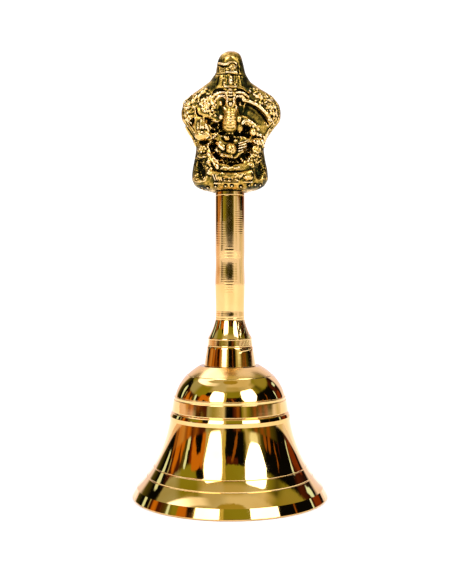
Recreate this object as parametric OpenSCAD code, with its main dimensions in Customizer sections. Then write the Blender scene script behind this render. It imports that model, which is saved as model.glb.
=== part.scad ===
// Brass puja bell with a cast seated figure on top of its handle.
// Millimetres, +Z up. The origin is the centre of the mouth plane, and the figure faces -Y.
// An eye bolt through the crown draws cup, collar, ferrule and handle together.
// The clapper hangs from its eye on a loose link and swings every way inside the cup.

/* [Cup] */
// Diameter across the lip
mouth_d = 66; // [64:0.5:68]
// Height of the lip's turned face
lip_h = 3.4; // [3:0.1:3.8]
// How far the lip's face leans in from its foot to its top
lip_lean = 1.55; // [1.3:0.05:1.8]
// Thickness of the wall at the lip
lip_wall = 3.6; // [3.3:0.1:3.9]
// Thickness of the wall above the flare
cup_wall = 2.0; // [1.8:0.1:2.2]
// Diameter at the top of the flare
waist_d = 40.7; // [40:0.1:41.5]
// Height of the top of the flare
waist_z = 26.25; // [25.5:0.25:26.75]
// Height of the flat seat on top of the shoulder
crown_z = 44.3; // [44:0.1:44.8]
// Thickness of the crown where the eye bolt passes
crown_wall = 3.0; // [2.8:0.1:3.2]

/* [Handle] */
// Diameter of the neck collar where it meets the shoulder
collar_foot_d = 17.7; // [17.2:0.1:18.1]
// Diameter of the neck collar at its top
collar_top_d = 15.6; // [15.3:0.1:15.9]
// Height where the collar ends and the ferrule begins
collar_top_z = 50.8; // [50:0.1:51.5]
// Height of the ferrule's plain band
ferrule_band_h = 2.9; // [2.5:0.1:3.2]
// Height where the ferrule ends and the shaft begins
ferrule_top_z = 60; // [59.5:0.1:60.5]
// Diameter of the plain handle shaft
shaft_d = 10; // [9.6:0.1:10.2]
// Height where the shaft ends and the figure begins
shaft_top_z = 103; // [102.5:0.1:103.5]

/* [Figure] */
// Height of the figure with its seat
figure_h = 48; // [46:0.5:50]
// Width of the figure across its raised arms
figure_w = 33.7; // [32:0.1:35]
// Depth of the figure at its seat
figure_d = 17; // [16:0.1:18]
// How strongly the carving stands out, against the cast original
carving = 1; // [0.5:0.1:1.2]

/* [Fastenings] */
// Diameter of the eye bolt's threaded shank
bolt_d = 5; // [4.8:0.1:5.2]
// Clearance of the shank in the crown, collar and ferrule
bolt_gap = 0.2; // [0.1:0.05:0.3]
// How far the shank runs into the handle shaft
bolt_bite = 12; // [8:0.5:16]
// Thickness of the washer under the crown
washer_h = 0.8; // [0.6:0.1:1]
// Diameter of the washer
washer_d = 11; // [10:0.5:12]
// Thickness of the thin hexagon nut
nut_h = 2.2; // [2:0.1:2.4]
// Width of the nut across its flats
nut_af = 8; // [7.8:0.1:8.2]
// Diameter of the stud that holds the figure
stud_d = 4; // [3.5:0.1:4.5]
// How far the stud runs into the shaft, and the same into the figure
stud_bite = 9; // [7:0.5:10]

/* [Clapper] */
// Wire diameter of the fixed eye and of the clapper's eye
eye_wire_d = 2; // [1.8:0.1:2.1]
// Wire diameter of the loose link
link_wire_d = 1.8; // [1.6:0.1:1.9]
// Play between two wires that hang in each other
wire_play = 0.1; // [0.05:0.01:0.15]
// Height of the fixed eye between its wire centres
eye_h = 4.6; // [4.5:0.05:4.8]
// Height of the link between its wire centres
link_h = 7.4; // [7.2:0.1:7.8]
// Width of the fixed eye and of the link between their wire centres
loop_w = 5.6; // [5.4:0.1:5.8]
// Radius of the clapper's eye at its wire centre
shank_eye_r = 2.6; // [2.5:0.05:2.8]
// Diameter of the clapper ball
ball_d = 13; // [12.5:0.1:13]
// Height of the ball's centre above the mouth plane
ball_z = 9; // [8.8:0.1:9.5]
// Diameter of the clapper shank at the ball
shank_d = 3.2; // [2.8:0.1:3.4]

/* [Hidden] */
$fn = 96;

// The wires hang across the two diagonals, so that the widest swings point along X and Y.
hang_turn = 45;
brass = "goldenrod";
aged_brass = "darkgoldenrod";
steel = "silver";

mouth_r = mouth_d / 2;
lip_edge = 0.4;
lip_in_h = 0.8;
lip_in_r = mouth_r - lip_wall;
lip_top_r = mouth_r - lip_lean;
waist_r = waist_d / 2;
crown_in_z = crown_z - crown_wall;
bolt_hole_r = bolt_d / 2 + bolt_gap;

// Heights up the cup, above the flare
bead_z = waist_z + 1.35;
channel_z = waist_z + 2.5;
band_z = waist_z + 3.1;
band_top_z = waist_z + 6.85;
ridge_z = waist_z + 7;
ridge_top_z = waist_z + 7.8;
dome_z = waist_z + 8.15;
step_z = 41.05;

// Radii up the cup, above the flare
bead_r = waist_r + 0.11;
channel_r = waist_r - 0.43;
channel_in_r = waist_r - 0.85;
band_r = waist_r - 0.59;
band_top_r = waist_r - 1.15;
ridge_r = waist_r - 1.37;
dome_a = 19.27;
dome_b = 16.69;
dome_mid_z = 30.37;
step_in = 0.15;
// Where the vault inside begins
vault_z = 29.5;

// The flare pulls in towards this point
flare_pull = [22.7, 12.3];
flare_steps = 14;
groove_zs = [7.5, 10.75];
groove_half = 0.22;

// The ferrule and the shaft
ferrule_r = 7.65;
ferrule_foot_r = 7.45;
ferrule_pull = [5.75, 56.5];
shaft_groove_z = 60.6;
neck_groove_z = 101.8;

// The figure's outline: height, half width left and right, depth to the front and back
figure_rows = [
  [0, 5.4, 5.4, 5.4, 5.4],
  [0.9, 9.6, 9.6, 7.2, 6.9],
  [2.2, 11.8, 11.6, 8.3, 7.9],
  [4.2, 12.8, 12.8, 8.8, 8.2],
  [7, 12.7, 12.7, 8.5, 7.9],
  [11, 11.9, 11.8, 7.5, 7],
  [15, 11.3, 11.2, 6.3, 6],
  [18, 11.7, 12.3, 6, 5.6],
  [21, 13.6, 14.4, 5.9, 5.5],
  [24, 16, 16.8, 5.7, 5.2],
  [26.5, 16.5, 17.2, 5.5, 5],
  [29.5, 15.7, 16.6, 5.3, 4.8],
  [32.5, 13.6, 14.2, 5.2, 4.7],
  [35, 10, 10, 5, 4.6],
  [37.2, 6.9, 6.8, 4.8, 4.5],
  [40, 4.9, 5.2, 4.6, 4.4],
  [44.8, 4, 4.1, 4, 4],
  [46.9, 2.6, 2.9, 2.8, 2.8],
  [48, 0.4, 0.4, 0.4, 0.4],
];
figure_levels = 62;
figure_front_points = 44;
figure_back_points = 14;
figure_squareness = 2.3;

// The carving on the front: x, height, half width, half height, and how far it stands out or sinks in
hollows = [
  [-4.6, 20.7, 2.5, 2.2, -1.8],
  [3.9, 19.6, 3.2, 1.9, -1.8],
  [-9.3, 16.1, 2.6, 1.2, -1.2],
  [6.2, 27.2, 2.7, 2.4, -1.4],
  [8.4, 25.5, 2.8, 2.4, -1.4],
  [10.4, 23.7, 2.4, 2.2, -1.2],
  [-7, 24.3, 2.5, 1.5, -1],
  [-9.9, 6.9, 2.2, 3.6, -0.7],
  [9.9, 6.9, 2.2, 3.6, -0.7],
  [-3.1, 29.6, 1.8, 2.2, -1.3],
  [3.1, 29.6, 1.8, 2.2, -1.3],
];
head_carving = [
  [0.2, 29.7, 6, 5.8, 2.4],
  [-3, 29.7, 1.1, 1, 1.1],
  [3, 29.7, 1.1, 1, 0.9],
  [0, 24.5, 2.7, 5.8, 2.9],
  [0, 21.6, 2.7, 2.4, 3.2],
  [-3.3, 24.6, 1.2, 1.4, 1.5],
  [3, 24.1, 1.2, 1.4, 1.5],
  [3.3, 22.1, 1.7, 1.5, 2],
  [5.1, 23.2, 1.5, 1.3, 1.8],
  [6.7, 22.6, 1.4, 1.2, 1.7],
  [8.1, 21.6, 1.2, 1.1, 1.6],
];
hand_carving = [
  [-9, 19.4, 2.8, 2.5, 2.4],
  [7.5, 19.8, 1.8, 1.7, 2.1],
  [9.7, 18.6, 1.5, 1.3, 1.9],
  [9.2, 16.7, 2.4, 1.6, 2.1],
  [-3.3, 14.9, 1.6, 1.3, 1.5],
  [3.3, 14.7, 1.5, 1.3, 1.6],
  [4.8, 16, 1.5, 1.3, 1.6],
];
leg_carving = [
  [0.2, 13.6, 2.4, 2.5, 2.2],
  [-8.7, 13.3, 2.2, 2.1, 1.4],
  [8.6, 12.4, 2.1, 2.1, 1.2],
  [5.8, 4.6, 2.5, 1.9, 1.3],
  [-4.3, 4.2, 1.9, 1.6, 1],
  [-6.4, 8.6, 1, 2.1, 0.9],
  [6.6, 9.7, 1.5, 1.8, 1],
];

// The hanging wires, from the nut down
eye_r = eye_wire_d / 2;
link_r = link_wire_d / 2;
wire_gap = eye_r + link_r + wire_play;
nut_z = crown_in_z - washer_h - nut_h;
eye_top_z = nut_z - 1.3;
pivot_z = eye_top_z - eye_h;
link_top_z = pivot_z + wire_gap;
link_pivot_z = link_top_z - link_h;
shank_eye_z = link_pivot_z + wire_gap - shank_eye_r;
loop_bend_r = 1.9;
shank_top_d = 2.6;
tail_h = 0.8;

function bezier(a, b, c, steps) = [
  for (i = [1 : steps])
    let (t = i / steps) (1 - t) * (1 - t) * a + 2 * t * (1 - t) * b + t * t * c
];

// A stretch from a to b that bulges out by h, or sinks in where h is negative. It leaves out a itself.
function bulge(a, b, h, steps) = [
  for (i = [1 : steps])
    let (t = i / steps) a + t * (b - a) + [h * sin(180 * t), 0]
];

function oval_r(a, b, mid_z, z) = a * sqrt(1 - pow((z - mid_z) / b, 2));

function oval(a, b, mid_z, z0, z1, steps) = [
  for (i = [1 : steps])
    let (z = z0 + (z1 - z0) * i / steps) [oval_r(a, b, mid_z, z), z]
];

function cup_outside() = concat(
  [[mouth_r - lip_edge, 0], [mouth_r, lip_edge], [lip_top_r, lip_h]],
  bezier([lip_top_r, lip_h], flare_pull, [waist_r, waist_z], flare_steps),
  [[bead_r + 0.05, waist_z + 0.2], [bead_r, bead_z], [channel_r, channel_z], [channel_in_r, channel_z + 0.2]],
  [[band_r, band_z], [band_top_r, band_top_z], [ridge_r - 0.03, ridge_z], [ridge_r, ridge_top_z]],
  [[oval_r(dome_a, dome_b, dome_mid_z, dome_z), dome_z]],
  oval(dome_a, dome_b, dome_mid_z, dome_z, step_z, 9),
  [[oval_r(dome_a, dome_b, dome_mid_z, step_z) - step_in, step_z]],
  oval(dome_a - step_in, dome_b - step_in, dome_mid_z, step_z, crown_z, 5)
);

function cup_inside() = concat(
  [[lip_in_r, 0], [lip_in_r, lip_in_h]],
  bezier([lip_in_r, lip_in_h], flare_pull - [cup_wall, 0], [waist_r - cup_wall, waist_z], flare_steps),
  [[oval_r(dome_a - cup_wall, dome_b - cup_wall, dome_mid_z, vault_z), vault_z]],
  oval(dome_a - cup_wall, dome_b - cup_wall, dome_mid_z, vault_z, crown_in_z, 10)
);

function reversed(points) = [for (i = [len(points) - 1 : -1 : 0]) points[i]];

// A fine V groove cut round a turned face of radius r at height z
module turned_groove(r, z) {
  rotate_extrude()
    polygon([[r - groove_half, z], [r + 0.5, z - groove_half], [r + 0.5, z + groove_half]]);
}

// A closed wire loop in the XZ plane, w wide and h high between wire centres, hanging from z
module wire_loop(w, h, z, wire_r) {
  bend = loop_bend_r;
  for (side = [-1, 1])
    translate([side * w / 2, 0, z - h + bend])
      cylinder(h = h - 2 * bend, r = wire_r);
  for (level = [z - h, z])
    translate([bend - w / 2, 0, level])
      rotate([0, 90, 0])
        cylinder(h = w - 2 * bend, r = wire_r);
  for (corner = [0 : 3]) {
    side = corner == 0 || corner == 3 ? 1 : -1;
    level = corner < 2 ? 1 : -1;
    translate([side * (w / 2 - bend), 0, z - h / 2 + level * (h / 2 - bend)])
      rotate([90, 0, 0])
        rotate([0, 0, 90 * corner])
          rotate_extrude(angle = 90)
            translate([bend, 0])
              circle(r = wire_r, $fn = 48);
  }
}

module bell_cup() {
  color(brass)
    difference() {
      rotate_extrude()
        polygon(concat(
          cup_outside(),
          [[bolt_hole_r, crown_z], [bolt_hole_r, crown_in_z]],
          reversed(cup_inside())
        ));
      for (z = groove_zs)
        turned_groove(lookup(z, [for (p = cup_outside()) [p[1], p[0]]]), z);
    }
}

module neck_collar() {
  color(brass)
    difference() {
      translate([0, 0, crown_z])
        cylinder(h = collar_top_z - crown_z, d1 = collar_foot_d, d2 = collar_top_d);
      translate([0, 0, crown_z - 1])
        cylinder(h = collar_top_z - crown_z + 2, r = bolt_hole_r);
    }
}

module handle_ferrule() {
  foot_top_z = collar_top_z + ferrule_band_h;
  color(brass)
    difference() {
      rotate_extrude()
        polygon(concat(
          [[0, collar_top_z], [ferrule_r - 0.1, collar_top_z]],
          bulge([ferrule_r - 0.1, collar_top_z], [ferrule_foot_r, foot_top_z], 0.15, 4),
          bezier([ferrule_foot_r, foot_top_z], ferrule_pull, [shaft_d / 2, ferrule_top_z], 10),
          [[0, ferrule_top_z]]
        ));
      translate([0, 0, collar_top_z - 1])
        cylinder(h = ferrule_top_z - collar_top_z + 2, r = bolt_hole_r);
    }
}

module handle_shaft() {
  color(brass)
    difference() {
      translate([0, 0, ferrule_top_z])
        cylinder(h = shaft_top_z - ferrule_top_z, d = shaft_d);
      for (z = [shaft_groove_z, neck_groove_z])
        turned_groove(shaft_d / 2, z);
      translate([0, 0, ferrule_top_z - 1])
        cylinder(h = bolt_bite + 1, d = bolt_d);
      translate([0, 0, shaft_top_z - stud_bite])
        cylinder(h = stud_bite + 1, d = stud_d);
    }
}

// A row of equal bosses or pits along an arc, in degrees from +X
function arc_carving(x, z, rx, rz, from, to, steps, r, out) = [
  for (i = [0 : steps])
    let (t = from + (to - from) * i / steps) [x + rx * cos(t), z + rz * sin(t), r, r, out]
];

function all_hollows() = concat(hollows, arc_carving(0, 14.4, 5.8, 5.2, 168, 372, 12, 1.8, -1.7));

function all_bosses() = concat(
  head_carving,
  hand_carving,
  leg_carving,
  // Brows over both eyes
  arc_carving(-3.1, 29.9, 2.6, 2.6, 20, 160, 7, 0.9, 1),
  arc_carving(3.4, 29.9, 2.6, 2.6, 20, 160, 7, 0.9, 1),
  // Rims of both ears
  arc_carving(4.5, 22, 9.4, 9, 15, 85, 9, 1.1, 1),
  arc_carving(-4.5, 24.5, 6.8, 7, 95, 185, 9, 0.9, 0.7),
  // Fingers of the raised hand
  [for (i = [0 : 3]) [0.95 * i - 10.6, 22.6, 0.6, 2, 1.6]],
  // The bowl under the belly, and the shins
  arc_carving(-0.4, 14.6, 3.9, 3.7, 200, 340, 8, 1, 1.1),
  arc_carving(0, 22.5, 16, 17, 244, 296, 12, 1.2, 1.1),
  // The crown's petals and its two bands
  [for (i = [-3 : 3]) [1.25 * i, 37.2, 0.55, 2, 0.45]],
  arc_carving(0, 39.3, 4.6, 0.1, 0, 180, 10, 0.6, 0.4),
  arc_carving(0, 43, 3.9, 0.1, 0, 180, 10, 0.6, 0.4)
);

// Height of one carved feature over the skin at (x, z): a low dome
function dome_at(x, z, f) = f[4] * max(0, 1 - pow((x - f[0]) / f[2], 2) - pow((z - f[1]) / f[3], 2));

function relief(x, z) = carving * (
  max([for (f = all_bosses()) dome_at(x, z, f)]) + min([for (f = all_hollows()) dome_at(x, z, f)])
);

// One column of figure_rows at height z, eased over its corners
function figure_size(z, column) =
  let (rows = [for (row = figure_rows) [row[0], row[column]]])
    (lookup(z - 0.7, rows) + 2 * lookup(z, rows) + lookup(z + 0.7, rows)) / 4;

function round_depth(share) = pow(max(0, 1 - pow(abs(share), figure_squareness)), 1 / figure_squareness);

// Points closer together towards the sides, from -1 to 1
function spread(i, steps) =
  let (t = 2 * i / steps - 1) t * (1.3 - 0.3 * t * t);

// The ring at height z, from the left side along the front to the right side, and round the back
function figure_ring(z) =
  let (
    left = figure_size(z, 1),
    right = figure_size(z, 2),
    front = figure_size(z, 3),
    back = figure_size(z, 4)
  ) concat(
    [
      for (i = [0 : figure_front_points])
        let (share = spread(i, figure_front_points), x = share * (share < 0 ? left : right))
          [x, -front * round_depth(share) - relief(x, z) * min(1, 3 * round_depth(share)), z]
    ],
    [
      for (i = [1 : figure_back_points - 1])
        let (share = -spread(i, figure_back_points))
          [share * (share < 0 ? left : right), back * round_depth(share), z]
    ]
  );

// The closed relief block of the figure: a skin over its rings, as cast in one piece
module figure_block() {
  around = figure_front_points + figure_back_points;
  nominal = figure_rows[len(figure_rows) - 1][0];
  points = [
    for (level = [0 : figure_levels])
      each figure_ring(nominal * level / figure_levels)
  ];
  sides = [
    for (level = [0 : figure_levels - 1], i = [0 : around - 1])
      let (a = level * around + i, b = level * around + (i + 1) % around)
        each [[a, a + around, b], [b, a + around, b + around]]
  ];
  foot = [for (i = [0 : around - 1]) i];
  top = [for (i = [around - 1 : -1 : 0]) figure_levels * around + i];
  scale([figure_w / 33.7, figure_d / 17, figure_h / nominal])
    polyhedron(points, concat(sides, [foot, top]));
}

module finial_figure() {
  color(aged_brass)
    difference() {
      translate([0, 0, shaft_top_z])
        figure_block();
      translate([0, 0, shaft_top_z - 1])
        cylinder(h = stud_bite + 1, d = stud_d + 0.3);
    }
}

module finial_stud() {
  color(steel)
    translate([0, 0, shaft_top_z - stud_bite])
      cylinder(h = 2 * stud_bite - 0.5, d = stud_d);
}

module eye_bolt() {
  color(steel)
    rotate([0, 0, hang_turn]) {
      translate([0, 0, eye_top_z])
        cylinder(h = ferrule_top_z + bolt_bite - eye_top_z - 0.5, d = bolt_d);
      wire_loop(loop_w, eye_h, eye_top_z, eye_r);
    }
}

module crown_washer() {
  color(steel)
    translate([0, 0, crown_in_z - washer_h])
      difference() {
        cylinder(h = washer_h, d = washer_d);
        translate([0, 0, -1])
          cylinder(h = washer_h + 2, r = bolt_hole_r);
      }
}

module crown_nut() {
  across_corners = nut_af / cos(30);
  color(brass)
    translate([0, 0, nut_z])
      difference() {
        cylinder(h = nut_h, d = across_corners, $fn = 6);
        translate([0, 0, -1])
          cylinder(h = nut_h + 2, d = bolt_d);
      }
}

module clapper_link() {
  color(steel)
    rotate([0, 0, hang_turn - 90])
      wire_loop(loop_w, link_h, link_top_z, link_r);
}

module clapper_shank() {
  shank_top_z = shank_eye_z - shank_eye_r;
  color(brass)
    rotate([0, 0, hang_turn]) {
      translate([0, 0, shank_eye_z])
        rotate([90, 0, 0])
          rotate_extrude()
            translate([shank_eye_r, 0])
              circle(r = eye_r, $fn = 48);
      translate([0, 0, ball_z])
        cylinder(h = shank_top_z - ball_z, d1 = shank_d, d2 = shank_top_d);
      translate([0, 0, ball_z - ball_d / 2 - tail_h])
        cylinder(h = ball_d / 2 + tail_h, d = shank_d);
    }
}

module clapper_ball() {
  color(brass)
    difference() {
      translate([0, 0, ball_z])
        sphere(d = ball_d);
      translate([0, 0, ball_z - ball_d])
        cylinder(h = ball_d, d = shank_d);
      translate([0, 0, ball_z])
        cylinder(
          h = shank_eye_z - shank_eye_r - ball_z,
          d1 = shank_d,
          d2 = shank_top_d
        );
    }
}

bell_cup();
neck_collar();
handle_ferrule();
handle_shaft();
finial_figure();
finial_stud();
eye_bolt();
crown_washer();
crown_nut();
clapper_link();
clapper_shank();
clapper_ball();
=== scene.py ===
import math

import bpy
import numpy as np
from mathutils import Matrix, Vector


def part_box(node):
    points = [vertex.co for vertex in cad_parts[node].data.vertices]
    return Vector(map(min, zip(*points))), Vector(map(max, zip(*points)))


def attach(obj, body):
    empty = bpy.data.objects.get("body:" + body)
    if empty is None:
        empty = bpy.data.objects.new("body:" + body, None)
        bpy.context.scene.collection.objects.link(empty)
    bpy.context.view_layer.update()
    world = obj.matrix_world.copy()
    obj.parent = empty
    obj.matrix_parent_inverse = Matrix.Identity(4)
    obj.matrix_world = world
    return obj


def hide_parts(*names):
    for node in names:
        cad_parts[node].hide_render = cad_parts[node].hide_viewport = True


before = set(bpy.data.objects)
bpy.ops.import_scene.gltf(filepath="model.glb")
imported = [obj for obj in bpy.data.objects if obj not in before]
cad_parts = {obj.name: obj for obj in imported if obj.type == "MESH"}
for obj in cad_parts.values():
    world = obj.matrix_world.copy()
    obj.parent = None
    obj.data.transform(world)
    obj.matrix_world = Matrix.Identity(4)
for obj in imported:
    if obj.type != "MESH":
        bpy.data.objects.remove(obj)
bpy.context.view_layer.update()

import openvdb as vdb
from mathutils import Vector

MM = 0.001
TAU = 2 * math.pi


# ---------------------------------------------------------------------------
# Node helpers
# ---------------------------------------------------------------------------


def link(tree, source, target):
    """Puts a number, a colour or another node's output on an input socket."""
    if isinstance(source, bpy.types.NodeSocket):
        tree.links.new(source, target)
    else:
        target.default_value = source


def math_node(tree, operation, a, b=0.0, c=0.0):
    """The result of a Math node, whose inputs are numbers or other nodes' outputs."""
    node = tree.nodes.new("ShaderNodeMath")
    node.operation = operation
    for socket, value in zip(node.inputs, (a, b, c)):
        link(tree, value, socket)
    return node.outputs[0]


def vector_node(tree, operation, a, b=(0, 0, 0)):
    node = tree.nodes.new("ShaderNodeVectorMath")
    node.operation = operation
    link(tree, a, node.inputs[0])
    link(tree, b, node.inputs[1])
    return node.outputs["Vector"]


def map_range(tree, value, low, high, to_low=0.0, to_high=1.0, smooth=True):
    node = tree.nodes.new("ShaderNodeMapRange")
    node.interpolation_type = "SMOOTHSTEP" if smooth else "LINEAR"
    for name, v in (("Value", value), ("From Min", low), ("From Max", high),
                    ("To Min", to_low), ("To Max", to_high)):
        link(tree, v, node.inputs[name])
    return node.outputs["Result"]


def mix_colour(tree, factor, a, b, blend="MIX"):
    node = tree.nodes.new("ShaderNodeMix")
    node.data_type = "RGBA"
    node.blend_type = blend
    node.clamp_factor = True
    for socket, value in ((node.inputs[0], factor), (node.inputs[6], a), (node.inputs[7], b)):
        if isinstance(value, tuple) and len(value) == 3:
            value = (*value, 1.0)
        link(tree, value, socket)
    return node.outputs[2]


def ramp(tree, factor, stops):
    """A colour ramp through (place, colour) stops."""
    node = tree.nodes.new("ShaderNodeValToRGB")
    elements = node.color_ramp.elements
    while len(elements) > 1:
        elements.remove(elements[-1])
    for i, (place, colour) in enumerate(stops):
        element = elements[0] if i == 0 else elements.new(place)
        element.position = place
        element.color = (*colour, 1.0)
    link(tree, factor, node.inputs["Fac"])
    return node.outputs["Color"]


def noise(tree, vector, scale, detail=2.0, roughness=0.5, name="FBM"):
    node = tree.nodes.new("ShaderNodeTexNoise")
    node.noise_type = name
    link(tree, vector, node.inputs["Vector"])
    node.inputs["Scale"].default_value = scale
    node.inputs["Detail"].default_value = detail
    node.inputs["Roughness"].default_value = roughness
    return node.outputs["Fac"]


def bump(tree, height, strength, distance, normal=None):
    node = tree.nodes.new("ShaderNodeBump")
    node.inputs["Strength"].default_value = strength
    node.inputs["Distance"].default_value = distance
    link(tree, height, node.inputs["Height"])
    if normal is not None:
        link(tree, normal, node.inputs["Normal"])
    return node.outputs["Normal"]


# ---------------------------------------------------------------------------
# Camera, studio and floor
# ---------------------------------------------------------------------------

# The camera's place in the bell's frame, its lens in millimetres and its dip below the level in degrees
CAMERA_PLACE = Vector((0.0, -305.6, 75.5)) * MM
CAMERA_LENS = 56.35
CAMERA_DIP = 0.89


def make_camera():
    data = bpy.data.cameras.new("photo_camera")
    data.lens = CAMERA_LENS
    data.clip_start = 0.01
    camera = bpy.data.objects.new("photo_camera", data)
    camera.location = CAMERA_PLACE
    camera.rotation_euler = (math.radians(90 - CAMERA_DIP), 0, 0)
    bpy.context.scene.collection.objects.link(camera)
    bpy.context.scene.camera = camera


CREAM = (1.0, 0.98, 1.15)
BACKDROP = (1.0, 0.88, 0.98)
GOLD = (0.74, 0.70, 0.50)
TAN = (0.56, 0.56, 0.40)
DEEP_GOLD = (0.60, 0.54, 0.14)
PALE_OLIVE = (0.52, 0.48, 0.22)
OLIVE = (0.26, 0.27, 0.02)
DARK_OLIVE = (0.09, 0.085, 0.01)
BLACK = (0.003, 0.003, 0.002)
WOOD = (0.60, 0.20, 0.01)
COPPER = (0.64, 0.34, 0.10)
BROWN = (0.30, 0.10, 0.01)
RED_WOOD = (0.20, 0.035, 0.004)
DARK_RED = (0.07, 0.014, 0.004)
PINK = (0.94, 0.70, 0.62)
GREEN_WHITE = (0.85, 1.15, 1.15)
GREY = (0.40, 0.42, 0.26)
LEAF = (0.32, 0.30, 0.06)
WHITE = (4.6, 4.8, 5.6)
HAZE = (1.0, 1.1, 0.9)
SHADE = (0.03, 0.03, 0.003)
BRONZE = (0.40, 0.33, 0.05)
LAMP = (2.6, 2.6, 3.4)
WARM_LAMP = (1.15, 1.2, 1.35)

# The room round the bell, in rows from the table up. A row's entries are a colour and the azimuths, in
# degrees, that have it. 0 is towards the camera and + is the right, and colours blend in between.
STREAKS = (
    (BACKDROP, -180, -147), (DARK_OLIVE, -142), (BLACK, -130, -116), (DARK_RED, -109, -95),
    (DARK_OLIVE, -84), (BLACK, -76), (RED_WOOD, -71), (DARK_RED, -62), (RED_WOOD, -50),
    (PALE_OLIVE, -46), (GOLD, -14), (DEEP_GOLD, -9), (BLACK, -7, 24), (DARK_OLIVE, 27),
    (PALE_OLIVE, 30, 52), (DARK_OLIVE, 58), (BLACK, 66, 112), (DARK_RED, 119), (BLACK, 138),
    (BACKDROP, 143, 180),
)
MIDDLE = (
    (BACKDROP, -180, -148), (DARK_OLIVE, -140), (OLIVE, -128), (GREY, -116, -96), (OLIVE, -86, -60),
    (PALE_OLIVE, -46, -14), (OLIVE, -11, 26), (PALE_OLIVE, 60), (OLIVE, 68), (DARK_OLIVE, 82),
    (OLIVE, 100, 126), (DARK_OLIVE, 138), (BACKDROP, 146, 180),
)
UPPER = (
    (BACKDROP, -180, -150), (OLIVE, -128), (PALE_OLIVE, -104, -84), (OLIVE, -62), (TAN, -50, -16),
    (PALE_OLIVE, -8, 24), (TAN, 36), (GOLD, 62), (PALE_OLIVE, 74), (OLIVE, 88, 118),
    (DARK_OLIVE, 136), (BACKDROP, 150, 180),
)
OVERHEAD = (
    (DEEP_GOLD, -180), (CREAM, -160), (TAN, -100, -60, -20), (GOLD, 0, 20, 60), (TAN, 96),
    (GOLD, 120), (TAN, 150), (DEEP_GOLD, 180),
)
# The strip just above the table's edge, which only the upright handle shows
LOW = (
    (BACKDROP, -180, -136), (PINK, -128, -104), (CREAM, -80), (TAN, -73), (BLACK, -69, -60),
    (LEAF, -56), (OLIVE, -47, -40), (DARK_OLIVE, -27), (SHADE, -16, 14), (DARK_OLIVE, 24),
    (OLIVE, 29), (CREAM, 33), (GOLD, 44), (TAN, 52), (CREAM, 60, 78), (TAN, 88), (CREAM, 97),
    (GOLD, 108), (CREAM, 122), (BACKDROP, 180),
)
# The strip above that, which the upright bands show
SILL = (
    (DARK_OLIVE, -180, -124), (COPPER, -116, -94), (BROWN, -88), (WOOD, -81), (DARK_RED, -74),
    (BROWN, -65), (DARK_RED, -58, -47), (GREY, -44), (LEAF, -33), (PALE_OLIVE, -22), (GOLD, -12),
    (BLACK, -8, 5), (DARK_RED, 9), (BROWN, 17), (BLACK, 21), (OLIVE, 24), (PALE_OLIVE, 30),
    (OLIVE, 35), (DARK_OLIVE, 44), (BROWN, 50), (DARK_OLIVE, 55), (BROWN, 62), (DARK_OLIVE, 68),
    (BROWN, 76), (DARK_OLIVE, 82), (BLACK, 97, 180),
)
# The elevations, in degrees, over which each row gives way to the one above it
MIDDLE_START, UPPER_START, OVERHEAD_START, ZENITH_START = (33, 37), (47, 53), (59, 64), (82, 86)
SILL_END, LOW_SOFT = (11.5, 9.5), 0.5
# How far the noise moves the streaks sideways and their edges up or down, in degrees
STREAK_WANDER, HEIGHT_WANDER = 6.0, 5.0
# On the left the streaks end lower: between these azimuths, with this softness, by this many degrees
STREAK_DROP, STREAK_DROP_SOFT, STREAK_DROP_BY = (-114, -66), 8, 8
# The low strip's top on the left and on the right: two azimuths, and its elevation at each
LOW_LEFT, LOW_RIGHT = (-95, -62, 2.3, 5.8), (45, 90, 6.2, 3.1)
# The sill's strip is in front only: gone past the first azimuth to a side, whole below the second
SILL_SIDES = (118, 92)

# Cards, the nearest last: azimuth, elevation, half width, half height, lean to the right per degree up,
# corner (1 pointed, 2 round, 4 and more square), softness, colour
CARDS = (
    (-102, 6, 6.5, 20, -0.05, 1.5, 0.30, WOOD), (-90.5, 5, 4.5, 16, -0.10, 1.5, 0.30, WOOD),
    (-113, 6, 3.0, 9, 0.0, 1.5, 0.40, BROWN), (-123, 17, 3.0, 9, -0.10, 3, 0.35, GREEN_WHITE),
    (-112, 18, 1.6, 4, 0.0, 2, 0.50, GREY), (-80, 18, 2.4, 10, -0.30, 4, 0.35, GREEN_WHITE),
    (-61, 21, 10, 13, 0.0, 2.4, 0.25, WOOD), (-58, 14, 6, 9, 0.15, 2.2, 0.35, BLACK),
    (-53, 38, 7, 5, 0.5, 2, 0.35, BLACK), (-48.5, 17, 3.2, 15, -0.15, 3, 0.35, WOOD),
    (8, 40.5, 21, 6.5, 0.0, 8, 0.25, OLIVE), (-10.5, 27, 2.4, 20, 0.0, 6, 0.35, DEEP_GOLD),
    (4, 31, 10, 3, 0.0, 4, 0.50, DARK_RED), (9, 21, 2.2, 11, -0.50, 2.4, 0.45, BROWN),
    (66, 12, 2.4, 7, 0.20, 2, 0.50, BROWN), (74, 14, 2.0, 6, 0.0, 2, 0.50, BROWN),
    (86, 20, 0.8, 9, 0.1, 3, 0.50, BROWN), (94, 12, 0.8, 6, 0.0, 2, 0.50, DARK_RED),
    (115, 13, 1.5, 8, -0.10, 3, 0.40, GREEN_WHITE), (131, 23, 4, 3, -0.6, 2, 0.40, GREEN_WHITE),
    (110, 46, 22, 11, -0.30, 2.2, 0.70, LEAF), (126, 9, 8, 6, 0.0, 2, 0.35, RED_WOOD),
    (60, 66, 46, 8, 0.0, 2.4, 0.60, GOLD), (3, 73.5, 40, 5, 0.0, 2.4, 0.30, BRONZE),
    (44, 15, 8, 6, 0.0, 2, 0.60, HAZE),
    (-120, 66, 34, 21, 0.8, 3, 0.30, LAMP), (134, 66, 22, 14, -0.3, 3, 0.40, CREAM),
)
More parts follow.
